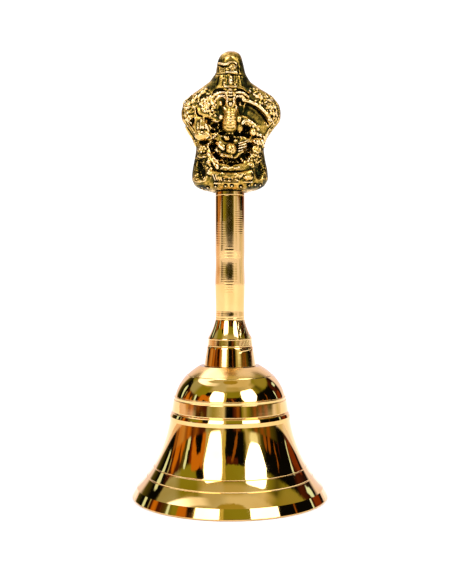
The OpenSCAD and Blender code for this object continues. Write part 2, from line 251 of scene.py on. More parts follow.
# The long lamp, a slanting band: its azimuths, its bottom and top at each, its ends' azimuths and their
# softness, its edges' softness, and the azimuths over which it turns warm
LAMP_SPAN, LAMP_BOTTOM, LAMP_TOP = (-114, -12), (42, 67), (53, 77)
LAMP_ENDS, LAMP_SOFT, LAMP_WARMS = (-118, -50, 12), 2.5, (-96, -64)
# Soft boxes: azimuth and half width at the foot, the same at full width, bottom, full width's height, top
SOFT_BOXES = (
    (-27.0, 10.5, -30, 16, 10.0, 30, 47.5),
    (45.5, 9.5, 45.5, 18.5, 16.5, 31, 49.5),
)
SOFT_BOX_CORNER, SOFT_BOX_SOFT = 6.0, 0.12
# The even light that the floor and the camera get
PLAIN_LIGHT = 1.25
# The table's edge: its elevation in front, how soft it is, how far it drops from the front to the back
# and between which azimuths, and where it stands a degree higher, with that rise's softness
TABLE_EDGE, EDGE_SOFT = 1.4, 0.5
EDGE_DROP, EDGE_DROP_SPAN = 4.5, (60, 135)
EDGE_RISE = (24, 58, 16)
# The azimuths between which the table is cream, with their softness. It is the backdrop's tone elsewhere.
CREAM_TABLE = (-90, 90, 40)


def ring(tree, azimuth, row):
    """A row's colour at an azimuth."""
    stops = [((place + 180) / 360, colour) for colour, *places in row for place in places]
    return ramp(tree, map_range(tree, azimuth, -180, 180, smooth=False), stops)


def window(tree, value, low, high, soft):
    """1 between low and high and 0 outside them, eased over soft on both sides of each."""
    rise = map_range(tree, value, low - soft, low + soft)
    fall = map_range(tree, value, high - soft, high + soft)
    return math_node(tree, "SUBTRACT", rise, fall)


def rounded_shape(tree, across, up, corner, soft):
    """1 inside a rounded unit shape and 0 outside it."""
    sides = [math_node(tree, "POWER", math_node(tree, "ABSOLUTE", side), corner) for side in (across, up)]
    return map_range(tree, math_node(tree, "ADD", *sides), 1 + soft, 1 - soft)


def card_light(tree, azimuth, height, card):
    place, level, half, tall, lean, corner, soft, _ = card
    leaned = math_node(tree, "MULTIPLY_ADD", height, -lean, azimuth)
    across = math_node(tree, "MULTIPLY_ADD", leaned, 1 / half, (lean * level - place) / half)
    up = math_node(tree, "MULTIPLY_ADD", height, 1 / tall, -level / tall)
    return rounded_shape(tree, across, up, corner, soft)


def soft_box_light(tree, azimuth, height, box):
    """A soft box that widens from its foot to its full width."""
    foot, foot_half, full, full_half, bottom, full_height, top = box
    middle = map_range(tree, height, bottom, full_height, foot, full, smooth=False)
    half = map_range(tree, height, bottom, full_height, foot_half, full_half, smooth=False)
    across = math_node(tree, "DIVIDE", math_node(tree, "SUBTRACT", azimuth, middle), half)
    tall = (top - bottom) / 2
    up = math_node(tree, "MULTIPLY_ADD", height, 1 / tall, -(top + bottom) / 2 / tall)
    return rounded_shape(tree, across, up, SOFT_BOX_CORNER, SOFT_BOX_SOFT)


def long_lamp_light(tree, azimuth, height):
    lower = map_range(tree, azimuth, *LAMP_SPAN, *LAMP_BOTTOM, smooth=False)
    upper = map_range(tree, azimuth, *LAMP_SPAN, *LAMP_TOP, smooth=False)
    over = map_range(tree, math_node(tree, "SUBTRACT", height, lower), 0, LAMP_SOFT)
    under = map_range(tree, math_node(tree, "SUBTRACT", upper, height), 0, LAMP_SOFT)
    band = math_node(tree, "MULTIPLY", over, under)
    return math_node(tree, "MULTIPLY", band, window(tree, azimuth, *LAMP_ENDS))


def room_directions(tree):
    """Azimuth and elevation in degrees, each plain and moved by noise."""
    direction = tree.nodes.new("ShaderNodeTexCoord").outputs["Generated"]
    split = tree.nodes.new("ShaderNodeSeparateXYZ")
    link(tree, direction, split.inputs[0])
    x, y, z = split.outputs
    azimuth = math_node(tree, "ARCTAN2", x, math_node(tree, "MULTIPLY", y, -1.0))
    azimuth = math_node(tree, "MULTIPLY", azimuth, 360 / TAU)
    height = math_node(tree, "MULTIPLY", math_node(tree, "ARCSINE", z), 360 / TAU)
    stretched = vector_node(tree, "MULTIPLY", direction, (1.0, 1.0, 0.25))
    wander = math_node(tree, "SUBTRACT", noise(tree, stretched, 14.0, 3.0), 0.5)
    ripple = math_node(tree, "SUBTRACT", noise(tree, direction, 22.0, 3.0), 0.5)
    streak_azimuth = math_node(tree, "MULTIPLY_ADD", wander, STREAK_WANDER, azimuth)
    loose_height = math_node(tree, "MULTIPLY_ADD", ripple, HEIGHT_WANDER, height)
    return azimuth, streak_azimuth, height, loose_height


def room_walls(tree, azimuth, streak_azimuth, height, loose_height):
    """The rows above the sill, without what hangs in front of them."""
    colour = ring(tree, streak_azimuth, STREAKS)
    dropped = window(tree, azimuth, *STREAK_DROP, STREAK_DROP_SOFT)
    raised = math_node(tree, "MULTIPLY_ADD", dropped, STREAK_DROP_BY, loose_height)
    for level, start, row in ((raised, MIDDLE_START, MIDDLE), (height, UPPER_START, UPPER),
                              (height, OVERHEAD_START, OVERHEAD)):
        colour = mix_colour(tree, map_range(tree, level, *start), colour, ring(tree, azimuth, row))
    return colour


def hang_lights(tree, azimuth, streak_azimuth, height, loose_height, colour):
    """The cards, the long lamp and the soft boxes in front of the walls, and the gold zenith."""
    for card in CARDS:
        lit = card_light(tree, streak_azimuth, loose_height, card)
        colour = mix_colour(tree, lit, colour, card[-1])
    lamp = long_lamp_light(tree, azimuth, height)
    lamp_colour = mix_colour(tree, map_range(tree, azimuth, *LAMP_WARMS), LAMP, WARM_LAMP)
    colour = mix_colour(tree, lamp, colour, lamp_colour)
    for box in SOFT_BOXES:
        colour = mix_colour(tree, soft_box_light(tree, azimuth, height, box), colour, WHITE)
    return mix_colour(tree, map_range(tree, height, *ZENITH_START), colour, DEEP_GOLD)


def lay_table(tree, azimuth, streak_azimuth, height, colour):
    """The two low strips, and the pale table below them."""
    aside = math_node(tree, "ABSOLUTE", azimuth)
    near_front = map_range(tree, aside, *SILL_SIDES)
    sill = math_node(tree, "MULTIPLY", map_range(tree, height, *SILL_END), near_front)
    colour = mix_colour(tree, sill, colour, ring(tree, streak_azimuth, SILL))
    low_tops = [map_range(tree, azimuth, *side, smooth=False) for side in (LOW_LEFT, LOW_RIGHT)]
    over_low = math_node(tree, "SUBTRACT", height, math_node(tree, "MINIMUM", *low_tops))
    low_share = map_range(tree, over_low, LOW_SOFT, -LOW_SOFT)
    colour = mix_colour(tree, low_share, colour, ring(tree, azimuth, LOW))
    edge = map_range(tree, aside, *EDGE_DROP_SPAN, TABLE_EDGE, TABLE_EDGE - EDGE_DROP, smooth=False)
    edge = math_node(tree, "ADD", edge, window(tree, aside, *EDGE_RISE))
    over_edge = math_node(tree, "SUBTRACT", height, edge)
    table = mix_colour(tree, window(tree, azimuth, *CREAM_TABLE), BACKDROP, CREAM)
    return mix_colour(tree, map_range(tree, over_edge, -EDGE_SOFT, EDGE_SOFT), table, colour)


def make_studio():
    """A room of lights, walls and a table for the reflections, which the camera sees as plain white."""
    world = bpy.data.worlds.new("studio")
    bpy.context.scene.world = world
    world.use_nodes = True
    tree = world.node_tree
    tree.nodes.clear()
    azimuth, streak_azimuth, height, loose_height = room_directions(tree)
    colour = room_walls(tree, azimuth, streak_azimuth, height, loose_height)
    colour = hang_lights(tree, azimuth, streak_azimuth, height, loose_height, colour)
    colour = lay_table(tree, azimuth, streak_azimuth, height, colour)
    room = tree.nodes.new("ShaderNodeBackground")
    link(tree, colour, room.inputs["Color"])
    plain = tree.nodes.new("ShaderNodeBackground")
    plain.inputs["Color"].default_value = (1, 1, 1, 1)
    plain.inputs["Strength"].default_value = PLAIN_LIGHT
    path = tree.nodes.new("ShaderNodeLightPath")
    chosen = tree.nodes.new("ShaderNodeMixShader")
    plain_share = math_node(tree, "MAXIMUM", path.outputs["Is Camera Ray"], path.outputs["Is Diffuse Ray"])
    link(tree, plain_share, chosen.inputs[0])
    link(tree, room.outputs[0], chosen.inputs[1])
    link(tree, plain.outputs[0], chosen.inputs[2])
    out = tree.nodes.new("ShaderNodeOutputWorld")
    link(tree, chosen.outputs[0], out.inputs["Surface"])
    bpy.context.scene.view_settings.view_transform = "Standard"


FLOOR_R = 6.0
# The floor lies this far below the mouth, and rolls off by this much at its edge, in metres
FLOOR_GAP, FLOOR_ROLL = 0.00002, 0.01


def make_floor():
    """A pale round table top with a rolled edge, level with the bell's mouth."""
    material, tree, shader = new_material("pale_floor", metallic=0.0)
    coordinates = tree.nodes.new("ShaderNodeTexCoord").outputs["Object"]
    tone = map_range(tree, noise(tree, coordinates, 40.0, 3.0), 0.3, 0.7)
    link(tree, mix_colour(tree, tone, (0.90, 0.89, 0.87), (0.93, 0.92, 0.90)), shader.inputs["Base Color"])
    shader.inputs["Roughness"].default_value = 0.6
    rings = [(0.0, 0.0), (0.05, 0.0), (0.2, 0.0), (FLOOR_R, 0.0), (FLOOR_R + FLOOR_ROLL, -FLOOR_ROLL)]
    floor = turned("floor", [(r / MM, (z - FLOOR_GAP) / MM) for r, z in rings], 96, closed=False)
    floor.data.materials.append(material)


# ---------------------------------------------------------------------------
# Mesh helpers
# ---------------------------------------------------------------------------


def make_object(name, vertices, faces, materials=()):
    mesh = bpy.data.meshes.new(name)
    mesh.from_pydata(vertices, [], faces)
    mesh.validate()
    for material in materials:
        mesh.materials.append(material)
    item = bpy.data.objects.new(name, mesh)
    bpy.context.scene.collection.objects.link(item)
    return item


# No tool mark reaches a hole of this radius or less
BORES_TO_R = 4.0


# Edges sharper than this, in degrees, stay sharp
SHARP_FROM = 14


def turned_faces(points, segments, closed):
    """The used vertices, the faces and the number of rows of a turned surface.

    A point of the outline on the axis becomes one vertex."""
    count = len(points)
    index = np.arange(count * segments).reshape(count, segments)
    index[points[:, 0] == 0] = index[points[:, 0] == 0, :1]
    rows = count if closed else count - 1
    low = index[:rows]
    high = np.roll(index, -1, 0)[:rows]
    quads = np.stack([low, np.roll(low, -1, 1), np.roll(high, -1, 1), high], -1)
    used, corners = np.unique(quads, return_inverse=True)
    return used, [list(dict.fromkeys(face)) for face in corners.reshape(-1, 4).tolist()], rows


def turned(name, outline, segments, closed=True, swell=None, materials=(), inside_from=None):
    """A lathe-turned piece from an outline of (radius, height) in millimetres.

    swell(angle, height) gives a small extra radius outside the bores, and the faces past
    inside_from take the second material."""
    points = np.array(outline, float)
    count = len(points)
    angles = np.arange(segments) * TAU / segments
    r = np.repeat(points[:, 0][:, None], segments, 1)
    z = np.repeat(points[:, 1][:, None], segments, 1)
    a = np.repeat(angles[None, :], count, 0)
    if swell is not None:
        r = np.where(r > BORES_TO_R, r + swell(a, z), r)
    flat = np.stack([r * np.sin(a), -r * np.cos(a), z], -1).reshape(-1, 3) * MM
    used, faces, rows = turned_faces(points, segments, closed)
    item = make_object(name, flat[used].tolist(), faces, materials)
    mesh = item.data
    if inside_from is not None:
        inner = np.repeat(np.arange(rows) >= inside_from, segments).astype(np.int32)
        mesh.polygons.foreach_set("material_index", inner)
    mesh.polygons.foreach_set("use_smooth", np.ones(len(mesh.polygons), bool))
    mesh.set_sharp_from_angle(angle=math.radians(SHARP_FROM))
    return item


def line(a, b, steps):
    """Points along the straight from a to b, without a itself."""
    a, b = np.array(a, float), np.array(b, float)
    return [tuple(a + (b - a) * i / steps) for i in range(1, steps + 1)]


def bezier(a, b, c, steps):
    """Points along the curve from a to c that b pulls, without a itself."""
    a, b, c = (np.array(p, float) for p in (a, b, c))
    places = np.arange(1, steps + 1) / steps
    return [tuple((1 - t) ** 2 * a + 2 * t * (1 - t) * b + t * t * c) for t in places]


# How far a support point stands from its corner
SUPPORT = 0.04


def towards(a, b, distance):
    """The point that far from a on the way to b."""
    a, b = np.array(a, float), np.array(b, float)
    return tuple(a + (b - a) * distance / np.linalg.norm(b - a))


def rounded(corners, steps=6):
    """Points through (radius, height, fillet) corners, each eased over its fillet between two support
    points, which keep the faces beside it flat."""
    out = [corners[0][:2], towards(corners[0][:2], corners[1][:2], SUPPORT)]
    for (r, z, fillet), before, after in zip(corners[1:-1], corners, corners[2:]):
        start = towards((r, z), before[:2], fillet)
        end = towards((r, z), after[:2], fillet)
        out.extend([towards(start, before[:2], SUPPORT / 2), start])
        out.extend(bezier(start, (r, z), end, steps))
        out.append(towards(end, after[:2], SUPPORT / 2))
    out.extend([towards(corners[-1][:2], corners[-2][:2], SUPPORT), corners[-1][:2]])
    return out


def densify(points, step):
    """The same outline with no two neighbours further apart than step."""
    out = [points[0]]
    for a, b in zip(points, points[1:]):
        n = max(1, math.ceil(math.dist(a, b) / step))
        out.extend(line(a, b, n))
    return out


def settle(item, body, slot, *nodes):
    """Puts a finished piece on its body, in the place of CAD nodes. The slot is not used."""
    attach(item, body)
    if nodes:
        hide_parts(*nodes)


# ---------------------------------------------------------------------------
# Materials
# ---------------------------------------------------------------------------

BRASS = (0.93, 0.62, 0.25)
BRASS_DEEP = (0.86, 0.53, 0.17)
# How much rougher the metal is where the polish stops, and the height over which it does, in millimetres
DULLER, DULL_OVER = 0.17, 0.1
# The colour of old cast brass from a dark hollow (0) to a worn high spot (1), and its green bloom
PATINA = (
    (0.00, (0.004, 0.003, 0.002)), (0.30, (0.014, 0.011, 0.003)), (0.40, (0.10, 0.075, 0.012)),
    (0.50, (0.33, 0.205, 0.028)), (0.61, (0.69, 0.415, 0.09)), (0.76, (0.90, 0.585, 0.195)),
    (0.94, (0.98, 0.75, 0.42)),
)
VERDIGRIS = (0.05, 0.065, 0.015)
# How much the grain and the patches move the wear up and down
GRAIN_SHARE, PATCH_SHARE = 0.42, 0.30


def new_material(name, metallic=1.0):
    material = bpy.data.materials.new(name)
    material.use_nodes = True
    tree = material.node_tree
    shader = tree.nodes["Principled BSDF"]
    shader.inputs["Metallic"].default_value = metallic
    return material, tree, shader


def turning_coordinates(tree):
    """The coordinates, the height, and (radius, 0, height), on which a pattern makes closed rings."""
    coordinates = tree.nodes.new("ShaderNodeTexCoord").outputs["Object"]
    split = tree.nodes.new("ShaderNodeSeparateXYZ")
    link(tree, coordinates, split.inputs[0])
    flat = vector_node(tree, "MULTIPLY", coordinates, (1, 1, 0))
    length = tree.nodes.new("ShaderNodeVectorMath")
    length.operation = "LENGTH"
    link(tree, flat, length.inputs[0])
    joined = tree.nodes.new("ShaderNodeCombineXYZ")
    link(tree, length.outputs["Value"], joined.inputs[0])
    link(tree, split.outputs[2], joined.inputs[2])
    return coordinates, split.outputs[2], joined.outputs[0]


# The pattern's cells per metre in the finest turning rings, and how much coarser the broad rings are
RING_SCALE, BROADER = 2600.0, 6


def turned_brass(name, shine, ring_depth, tone_low=BRASS_DEEP, tone_high=BRASS, dull_from=None):
    """Polished brass off the lathe: fine closed rings, faint handling haze and warm tone drift.

    shine is the least and the most roughness, and ring_depth is in millimetres. Above the height
    dull_from, in metres, the polish stops."""
    material, tree, shader = new_material(name)
    coordinates, height, rings_at = turning_coordinates(tree)
    haze = noise(tree, coordinates, 260.0, 4.0, 0.6)
    drift = noise(tree, coordinates, 60.0, 3.0)
    link(tree, mix_colour(tree, map_range(tree, drift, 0.35, 0.65), tone_low, tone_high),
         shader.inputs["Base Color"])
    low, high = shine
    roughness = map_range(tree, haze, 0.35, 0.75, low, high)
    if dull_from is not None:
        dull = map_range(tree, height, dull_from, dull_from + DULL_OVER * MM, 0.0, DULLER)
        roughness = math_node(tree, "ADD", roughness, dull)
    link(tree, roughness, shader.inputs["Roughness"])
    fine = noise(tree, rings_at, RING_SCALE, 3.0, 0.65)
    broad = noise(tree, rings_at, RING_SCALE / BROADER, 2.0)
    rings = math_node(tree, "MULTIPLY_ADD", broad, 2.0, fine)
    link(tree, bump(tree, rings, 1.0, ring_depth * MM), shader.inputs["Normal"])
    return material


def cast_brass(name):
    """Old cast brass: dark green-black patina in the hollows, bright worn metal on the high spots, and
    the painted shade and painted highlights that the wear attribute carries.
    """
    material, tree, shader = new_material(name)
    coordinates = tree.nodes.new("ShaderNodeTexCoord").outputs["Object"]
    worn_and_painted_light = tree.nodes.new("ShaderNodeAttribute")
    worn_and_painted_light.attribute_name = "wear_and_painted_light"
    grain = noise(tree, coordinates, 1100.0, 3.0, 0.6)
    patch = noise(tree, coordinates, 240.0, 3.0)
    mixed = worn_and_painted_light.outputs["Fac"]
    for pattern, share in ((grain, GRAIN_SHARE), (patch, PATCH_SHARE)):
        mixed = math_node(tree, "MULTIPLY_ADD", math_node(tree, "SUBTRACT", pattern, 0.5), share, mixed)
    colour = ramp(tree, mixed, PATINA)
    green = map_range(tree, noise(tree, coordinates, 300.0, 2.0), 0.55, 0.70)
    tint = math_node(tree, "MULTIPLY", green, map_range(tree, mixed, 0.52, 0.32))
    link(tree, mix_colour(tree, math_node(tree, "MULTIPLY", tint, 0.5), colour, VERDIGRIS),
         shader.inputs["Base Color"])
    link(tree, map_range(tree, mixed, 0.30, 0.75, 0.6, 0.16), shader.inputs["Roughness"])
    pits = noise(tree, coordinates, 2200.0, 3.0, 0.6)
    link(tree, bump(tree, pits, 0.6, 0.06 * MM), shader.inputs["Normal"])
    return material


def steel(name, tone, shine):
    """Bright steel with a duller haze, where shine is the least and the most roughness."""
    material, tree, shader = new_material(name)
    coordinates = tree.nodes.new("ShaderNodeTexCoord").outputs["Object"]
    haze = noise(tree, coordinates, 700.0, 4.0, 0.6)
    dull = tuple(c * 0.6 for c in tone)
    link(tree, mix_colour(tree, map_range(tree, haze, 0.35, 0.65), dull, tone), shader.inputs["Base Color"])
    link(tree, map_range(tree, haze, 0.3, 0.7, *shine), shader.inputs["Roughness"])
    link(tree, bump(tree, noise(tree, coordinates, 2200.0, 3.0), 0.4, 0.02 * MM), shader.inputs["Normal"])
    return material


# ---------------------------------------------------------------------------
# Turned pieces
# ---------------------------------------------------------------------------

# Heights and radii in millimetres, as the part is designed
MOUTH_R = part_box("bell_cup")[1].x / MM
CROWN_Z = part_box("bell_cup")[1].z / MM
COLLAR_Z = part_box("neck_collar")[1].z / MM
FERRULE_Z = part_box("handle_ferrule")[1].z / MM
SHAFT_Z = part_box("handle_shaft")[1].z / MM
SHAFT_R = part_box("handle_shaft")[1].x / MM
FERRULE_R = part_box("handle_ferrule")[1].x / MM
BOLT_HOLE_R = 2.7
# The shaft's two blind bores
BOLT_R, BOLT_END_Z = 2.5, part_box("eye_bolt")[1].z / MM + 0.5
STUD_R, STUD_FOOT_Z = 2.0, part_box("finial_stud")[0].z / MM
# The cup's wall, the lip's thickness, the crown's thickness and where the wall starts above the mouth
WALL, LIP_WALL, CROWN_WALL, WALL_FOOT_Z = 2.0, 3.6, 3.0, 0.9
# The lip's face leans in from the mouth to here, where the flare starts. The flare's curve is pulled
# towards one point and ends at the waist.
LIP_FACE_R, LIP_FACE_Z = MOUTH_R - 1.55, 3.4
FLARE_PULL, WAIST = (22.7, 12.3), (20.35, 26.25)
GROOVE_ZS, GROOVE_DEPTH, GROOVE_HALF = (7.5, 10.75), 0.2, 0.17
# The outline's spacing at a groove, and how many of those steps one step takes elsewhere
FLARE_STEP, FLARE_SKIP = 0.07, 4
# The dome is part of an ellipse: half width, half height and the height of its middle
DOME_A, DOME_B, DOME_MID = 19.27, 16.69, 30.37
# The dome's start outside and inside, and the fine step under its crown with its inset and its depth
DOME_Z, VAULT_Z = 34.4, 29.6
STEP_Z, STEP_IN, STEP_DEPTH = 41.05, 0.15, 0.3


def dome_r(z, a=DOME_A, b=DOME_B):
    """The radius of an ellipse with those half axes at height z."""
    return a * math.sqrt(1 - ((z - DOME_MID) / b) ** 2)


def dome(z0, z1, steps, inset=0.0):
    """Points along the dome from z0, without z0 itself, to z1."""
    zs = np.linspace(z0, z1, steps + 1)[1:]
    return [(dome_r(z, DOME_A - inset, DOME_B - inset), z) for z in zs]


def grooved(points):
    """Cuts the fine decorating grooves into the flare: a small sharp step with eased edges."""
    out = []
    for i, (r, z) in enumerate(densify(points, FLARE_STEP)):
        if i % FLARE_SKIP and min(abs(z - g) for g in GROOVE_ZS) > GROOVE_HALF + FLARE_STEP:
            continue
        depth = sum(GROOVE_DEPTH * max(0.0, 1 - abs(z - g) / GROOVE_HALF) for g in GROOVE_ZS)
        out.append((r - depth * 0.8, z - depth * 0.5))
    return out


def cup_outside():
    """From the lip's underside to the crown's edge."""
    flare = [(LIP_FACE_R, LIP_FACE_Z)] + bezier((LIP_FACE_R, LIP_FACE_Z), FLARE_PULL, WAIST, 70)
    lip = rounded([
        (MOUTH_R - LIP_WALL, 0, 0), (MOUTH_R - 0.4, 0, 0.2), (MOUTH_R, 0.4, 0.2),
        (LIP_FACE_R, LIP_FACE_Z, 0),
    ])
    shoulder = rounded([
        (*WAIST, 0), (WAIST[0] + 0.16, WAIST[1] + 0.05, 0.04), (20.46, 27.6, 0.12), (19.92, 28.75, 0.2),
        (19.5, 28.95, 0.12), (19.76, 29.35, 0.12), (19.2, 33.1, 0.1), (18.95, 33.25, 0.08),
        (18.98, 34.05, 0.12), (18.62, 34.2, 0.08), (dome_r(DOME_Z), DOME_Z, 0),
    ])
    step_r = dome_r(STEP_Z)
    step = [(step_r - STEP_DEPTH, STEP_Z - 0.02), (step_r - STEP_DEPTH - 0.06, STEP_Z + 0.04)]
    top = dome(STEP_Z + 0.12, CROWN_Z - 0.04, 24, STEP_IN)
    rim = [(top[-1][0] - 0.06, CROWN_Z)]
    return lip + grooved(flare)[1:] + shoulder[1:] + dome(DOME_Z, STEP_Z, 48) + step + top + rim


def cup_inside():
    """From the bolt's hole down the vault and the wall to the lip."""
    inner_z = CROWN_Z - CROWN_WALL
    wall_foot = (MOUTH_R - LIP_WALL, WALL_FOOT_Z)
    vault = dome(VAULT_Z, inner_z, 30, WALL)
    ceiling = densify([(BOLT_HOLE_R, inner_z), vault[-1]], 0.5)
    wall = bezier(wall_foot, (FLARE_PULL[0] - WALL, FLARE_PULL[1]), (WAIST[0] - WALL, WAIST[1]), 36)
    return [(BOLT_HOLE_R, CROWN_Z)] + ceiling + vault[-2::-1] + wall[::-1] + [wall_foot]


def collar_outline():
    foot_r, top_r = 8.8, 7.8
    outside = [(BOLT_HOLE_R, CROWN_Z)] + rounded([
        (foot_r - 0.3, CROWN_Z, 0), (foot_r, CROWN_Z + 0.12, 0.1), (foot_r - 0.38, CROWN_Z + 2.5, 0.8),
        (top_r + 0.02, COLLAR_Z - 0.35, 0.2), (top_r - 0.12, COLLAR_Z, 0),
    ])
    return densify(outside, 0.12) + [(BOLT_HOLE_R, COLLAR_Z)]


def ferrule_outline():
    band_z = COLLAR_Z + 2.9
    outside = [(BOLT_HOLE_R, COLLAR_Z)] + rounded([
        (FERRULE_R - 0.3, COLLAR_Z, 0), (FERRULE_R - 0.06, COLLAR_Z + 0.15, 0.08),
        (FERRULE_R, COLLAR_Z + 0.4, 0.08), (FERRULE_R - 0.05, COLLAR_Z + 0.5, 0.06),
        (FERRULE_R - 0.24, band_z - 0.42, 0.08), (FERRULE_R - 0.15, band_z - 0.3, 0.08),
        (FERRULE_R - 0.2, band_z, 0),
    ])
    outside += bezier((FERRULE_R - 0.2, band_z), (5.75, 56.5), (SHAFT_R, FERRULE_Z - 0.3), 40)
    outside += [(SHAFT_R - 0.02, FERRULE_Z)]
    return densify(outside, 0.12) + [(BOLT_HOLE_R, FERRULE_Z)]


# The shaft's face leans back a little at some heights, so that it shows the dark room there:
# height, lean in degrees, half length of the stretch
SHAFT_LEANS = ((75.7, 3.0, 5.0), (61.8, 4.0, 1.5))
SHAFT_STEP = 0.1
# Chatter rings: lowest and highest z, middle and half width in degrees round the shaft, pitch, depth
CHATTER = (
    (84.5, 93.5, -44, 30, 0.58, 0.0026), (88.5, 97.0, 38, 26, 0.72, 0.0034),
    (80.2, 84.6, -3, 22, 1.05, 0.0052), (68.4, 73.4, -4, 24, 0.85, 0.0056),
    (60.8, 63.5, -35, 45, 0.7, 0.0030), (63.5, 70.0, 0, 180, 0.62, 0.0006),
    (72.4, 79.6, -30, 16, 0.62, 0.0030), (72.4, 79.6, 20, 14, 0.55, 0.0030),
    (93.0, 101.0, 0, 180, 0.5, 0.0005),
)
# How far from its two ends each stretch fades out, in millimetres
CHATTER_FADE = 0.8


def soft_step(value, low, high):
    t = np.clip((value - low) / (high - low), 0, 1)
    return t * t * (3 - 2 * t)


def turn_degrees(angle):
    """An angle in degrees from -180 to 180."""
    return (np.degrees(angle) + 180) % 360 - 180


def chatter(angle, z):
    """Fine rings where the tool shivered, each stretch fading out along and round the shaft."""
    total = np.zeros_like(z)
    for low, high, middle, half, pitch, depth in CHATTER:
        along = soft_step(z, low, low + CHATTER_FADE) * soft_step(-z, -high, -high + CHATTER_FADE)
        apart = np.abs(turn_degrees(angle - math.radians(middle)))
        around = 1.0 if half >= 180 else soft_step(-apart, -half, -half * 0.5)
        total = total + depth * along * around * np.sin(z * TAU / pitch + 0.5 * np.sin(z * 1.7))
    return total


# Below this height the leans cancel out, so that the shaft's foot keeps its radius
SHAFT_EVEN_TO = 83
# The fine turned lines at the shaft's foot and neck: height, half width, depth
SHAFT_LINES = ((60.62, 0.10, 0.07), (101.75, 0.10, 0.06))
# How much thinner than its CAD node the shaft is, which leaves room for the leans
SHAFT_SLACK = 0.06


def shaft_outline():
    zs = np.arange(FERRULE_Z, SHAFT_Z + SHAFT_STEP / 2, SHAFT_STEP)
    lean = np.zeros_like(zs)
    for middle, degrees, half in SHAFT_LEANS:
        lean += degrees * np.clip(1 - ((zs - middle) / half) ** 2, 0, None)
    even = zs < SHAFT_EVEN_TO
    lean -= np.where(even, lean[even].mean(), 0)
    drift = np.cumsum(np.tan(np.radians(lean[:-1])) * SHAFT_STEP)
    r = SHAFT_R - SHAFT_SLACK - np.concatenate([[0], drift])
    for middle, half, depth in SHAFT_LINES:
        r = r - np.exp(-((zs - middle) / half) ** 2) * depth
    foot_hole = [(0.0, BOLT_END_Z), (BOLT_R, BOLT_END_Z), (BOLT_R, FERRULE_Z)]
    head_hole = [(STUD_R, SHAFT_Z), (STUD_R, STUD_FOOT_Z), (0.0, STUD_FOOT_Z)]
    return foot_hole + list(zip(r.tolist(), zs.tolist())) + head_hole


# The tool's slip on the neck: the scratch's height, depth and half width, and above which height the
# bruise starts, how deep it is and how rough, in millimetres
SCRATCH_Z, SCRATCH_DEPTH, SCRATCH_HALF = 49.35, 0.10, 0.16
BRUISE_Z, BRUISE_DEPTH, BRUISE_ROUGH = 49.9, 0.07, 0.035


def tool_mark(angle, z):
    """The slip of a tool across the right of the neck: one bright scratch under a rough bruise."""
    degrees = turn_degrees(angle)
    rising = SCRATCH_Z + (degrees - 25) * 0.014
    across = soft_step(degrees, 20, 27) * soft_step(-degrees, -72, -62)
    scratch = SCRATCH_DEPTH * across * np.exp(-((z - rising) / SCRATCH_HALF) ** 2)
    around = soft_step(degrees, 22, 30) * soft_step(-degrees, -84, -72)
    bruise = around * soft_step(z, BRUISE_Z, BRUISE_Z + 0.4)
    rough = np.sin(degrees * 0.9 + z * 9) * np.sin(z * 11 + degrees * 0.35)
    fine = 0.0012 * np.sin(z * TAU / 0.42) * soft_step(degrees, -60, -10)
    return fine - scratch - bruise * (BRUISE_DEPTH + BRUISE_ROUGH * rough)


def make_turned_pieces(looks):
    """The cup, the neck and the handle: node, segments, outline, metals and what else it needs."""
    outside = cup_outside()
    two_metals = {"inside_from": len(outside) - 1}
    pieces = (
        ("bell_cup", 240, outside + cup_inside(), ("bell", "bell_inside"), two_metals),
        ("neck_collar", 256, collar_outline(), ("neck",), {"swell": tool_mark}),
        ("handle_ferrule", 256, ferrule_outline(), ("neck",), {"swell": tool_mark}),
        ("handle_shaft", 180, shaft_outline(), ("shaft",), {"swell": chatter, "closed": False}),
    )
    for node, segments, outline, metals, more in pieces:
        piece = turned(f"{node}_turned", outline, segments, materials=[looks[m] for m in metals], **more)
        settle(piece, "bell", "polished_brass", node)


# ---------------------------------------------------------------------------
# The cast figure, modelled in a block of clay: a distance field on a fine grid
# ---------------------------------------------------------------------------

# The grid's step, and how far the grid reaches past the figure's box, in millimetres
CLAY_STEP, CLAY_MARGIN = 0.2, Vector((1.2, 1.2, 0.8))
FOOT_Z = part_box("finial_figure")[0].z / MM
# The block's outline: height above the seat's foot, half width left and right, depth to the front and back
OUTLINE_ROWS = (
    (0, 5.4, 5.4, 5.4, 5.4), (0.9, 9.7, 9.7, 7.2, 6.9), (2.2, 11.9, 11.7, 8.3, 7.9),
    (4.2, 12.9, 12.9, 8.8, 8.2), (7, 12.8, 12.8, 8.5, 7.9), (11, 12.0, 11.9, 7.5, 7.0),
    (15, 11.4, 11.3, 6.3, 6.0), (18, 11.8, 12.4, 6.0, 5.6), (21, 13.7, 14.5, 5.9, 5.5),
    (24, 16.1, 16.9, 5.7, 5.2), (26.5, 16.7, 17.4, 5.5, 5.0), (29.5, 15.9, 16.7, 5.3, 4.8),
    (32.5, 13.6, 14.2, 5.2, 4.7), (35, 10.0, 10.0, 5.0, 4.6), (37.2, 6.9, 6.8, 4.8, 4.5),
    (40, 4.9, 5.2, 4.6, 4.4), (44.6, 4.1, 4.2, 4.0, 4.0), (46.2, 3.3, 3.6, 3.1, 3.1),
    (47.1, 1.9, 2.8, 2.0, 2.0), (47.5, 0.7, 1.6, 0.7, 0.7),
)
# How square the block is from above: 2 is an ellipse
SQUARENESS = 2.3
# How many layers on each side a layer of the block is averaged with, and the average's width in layers
EASE_REACH, EASE_WIDTH = 5, 2.2
# The field is cut off at this distance from the skin, in millimetres
FIELD_REACH = 4
# Casting dents: how many cells of the grid apart, and each size's share of the depth
DENTS = ((9, 0.5), (4, 0.3), (2, 0.2))


def arc(x, z, rx, rz, start, end, steps=12):
    """Points along an elliptic arc seen from the front, in degrees from +X."""
    turns = np.radians(np.linspace(start, end, steps + 1))
    return [(x + rx * math.cos(t), z + rz * math.sin(t)) for t in turns]


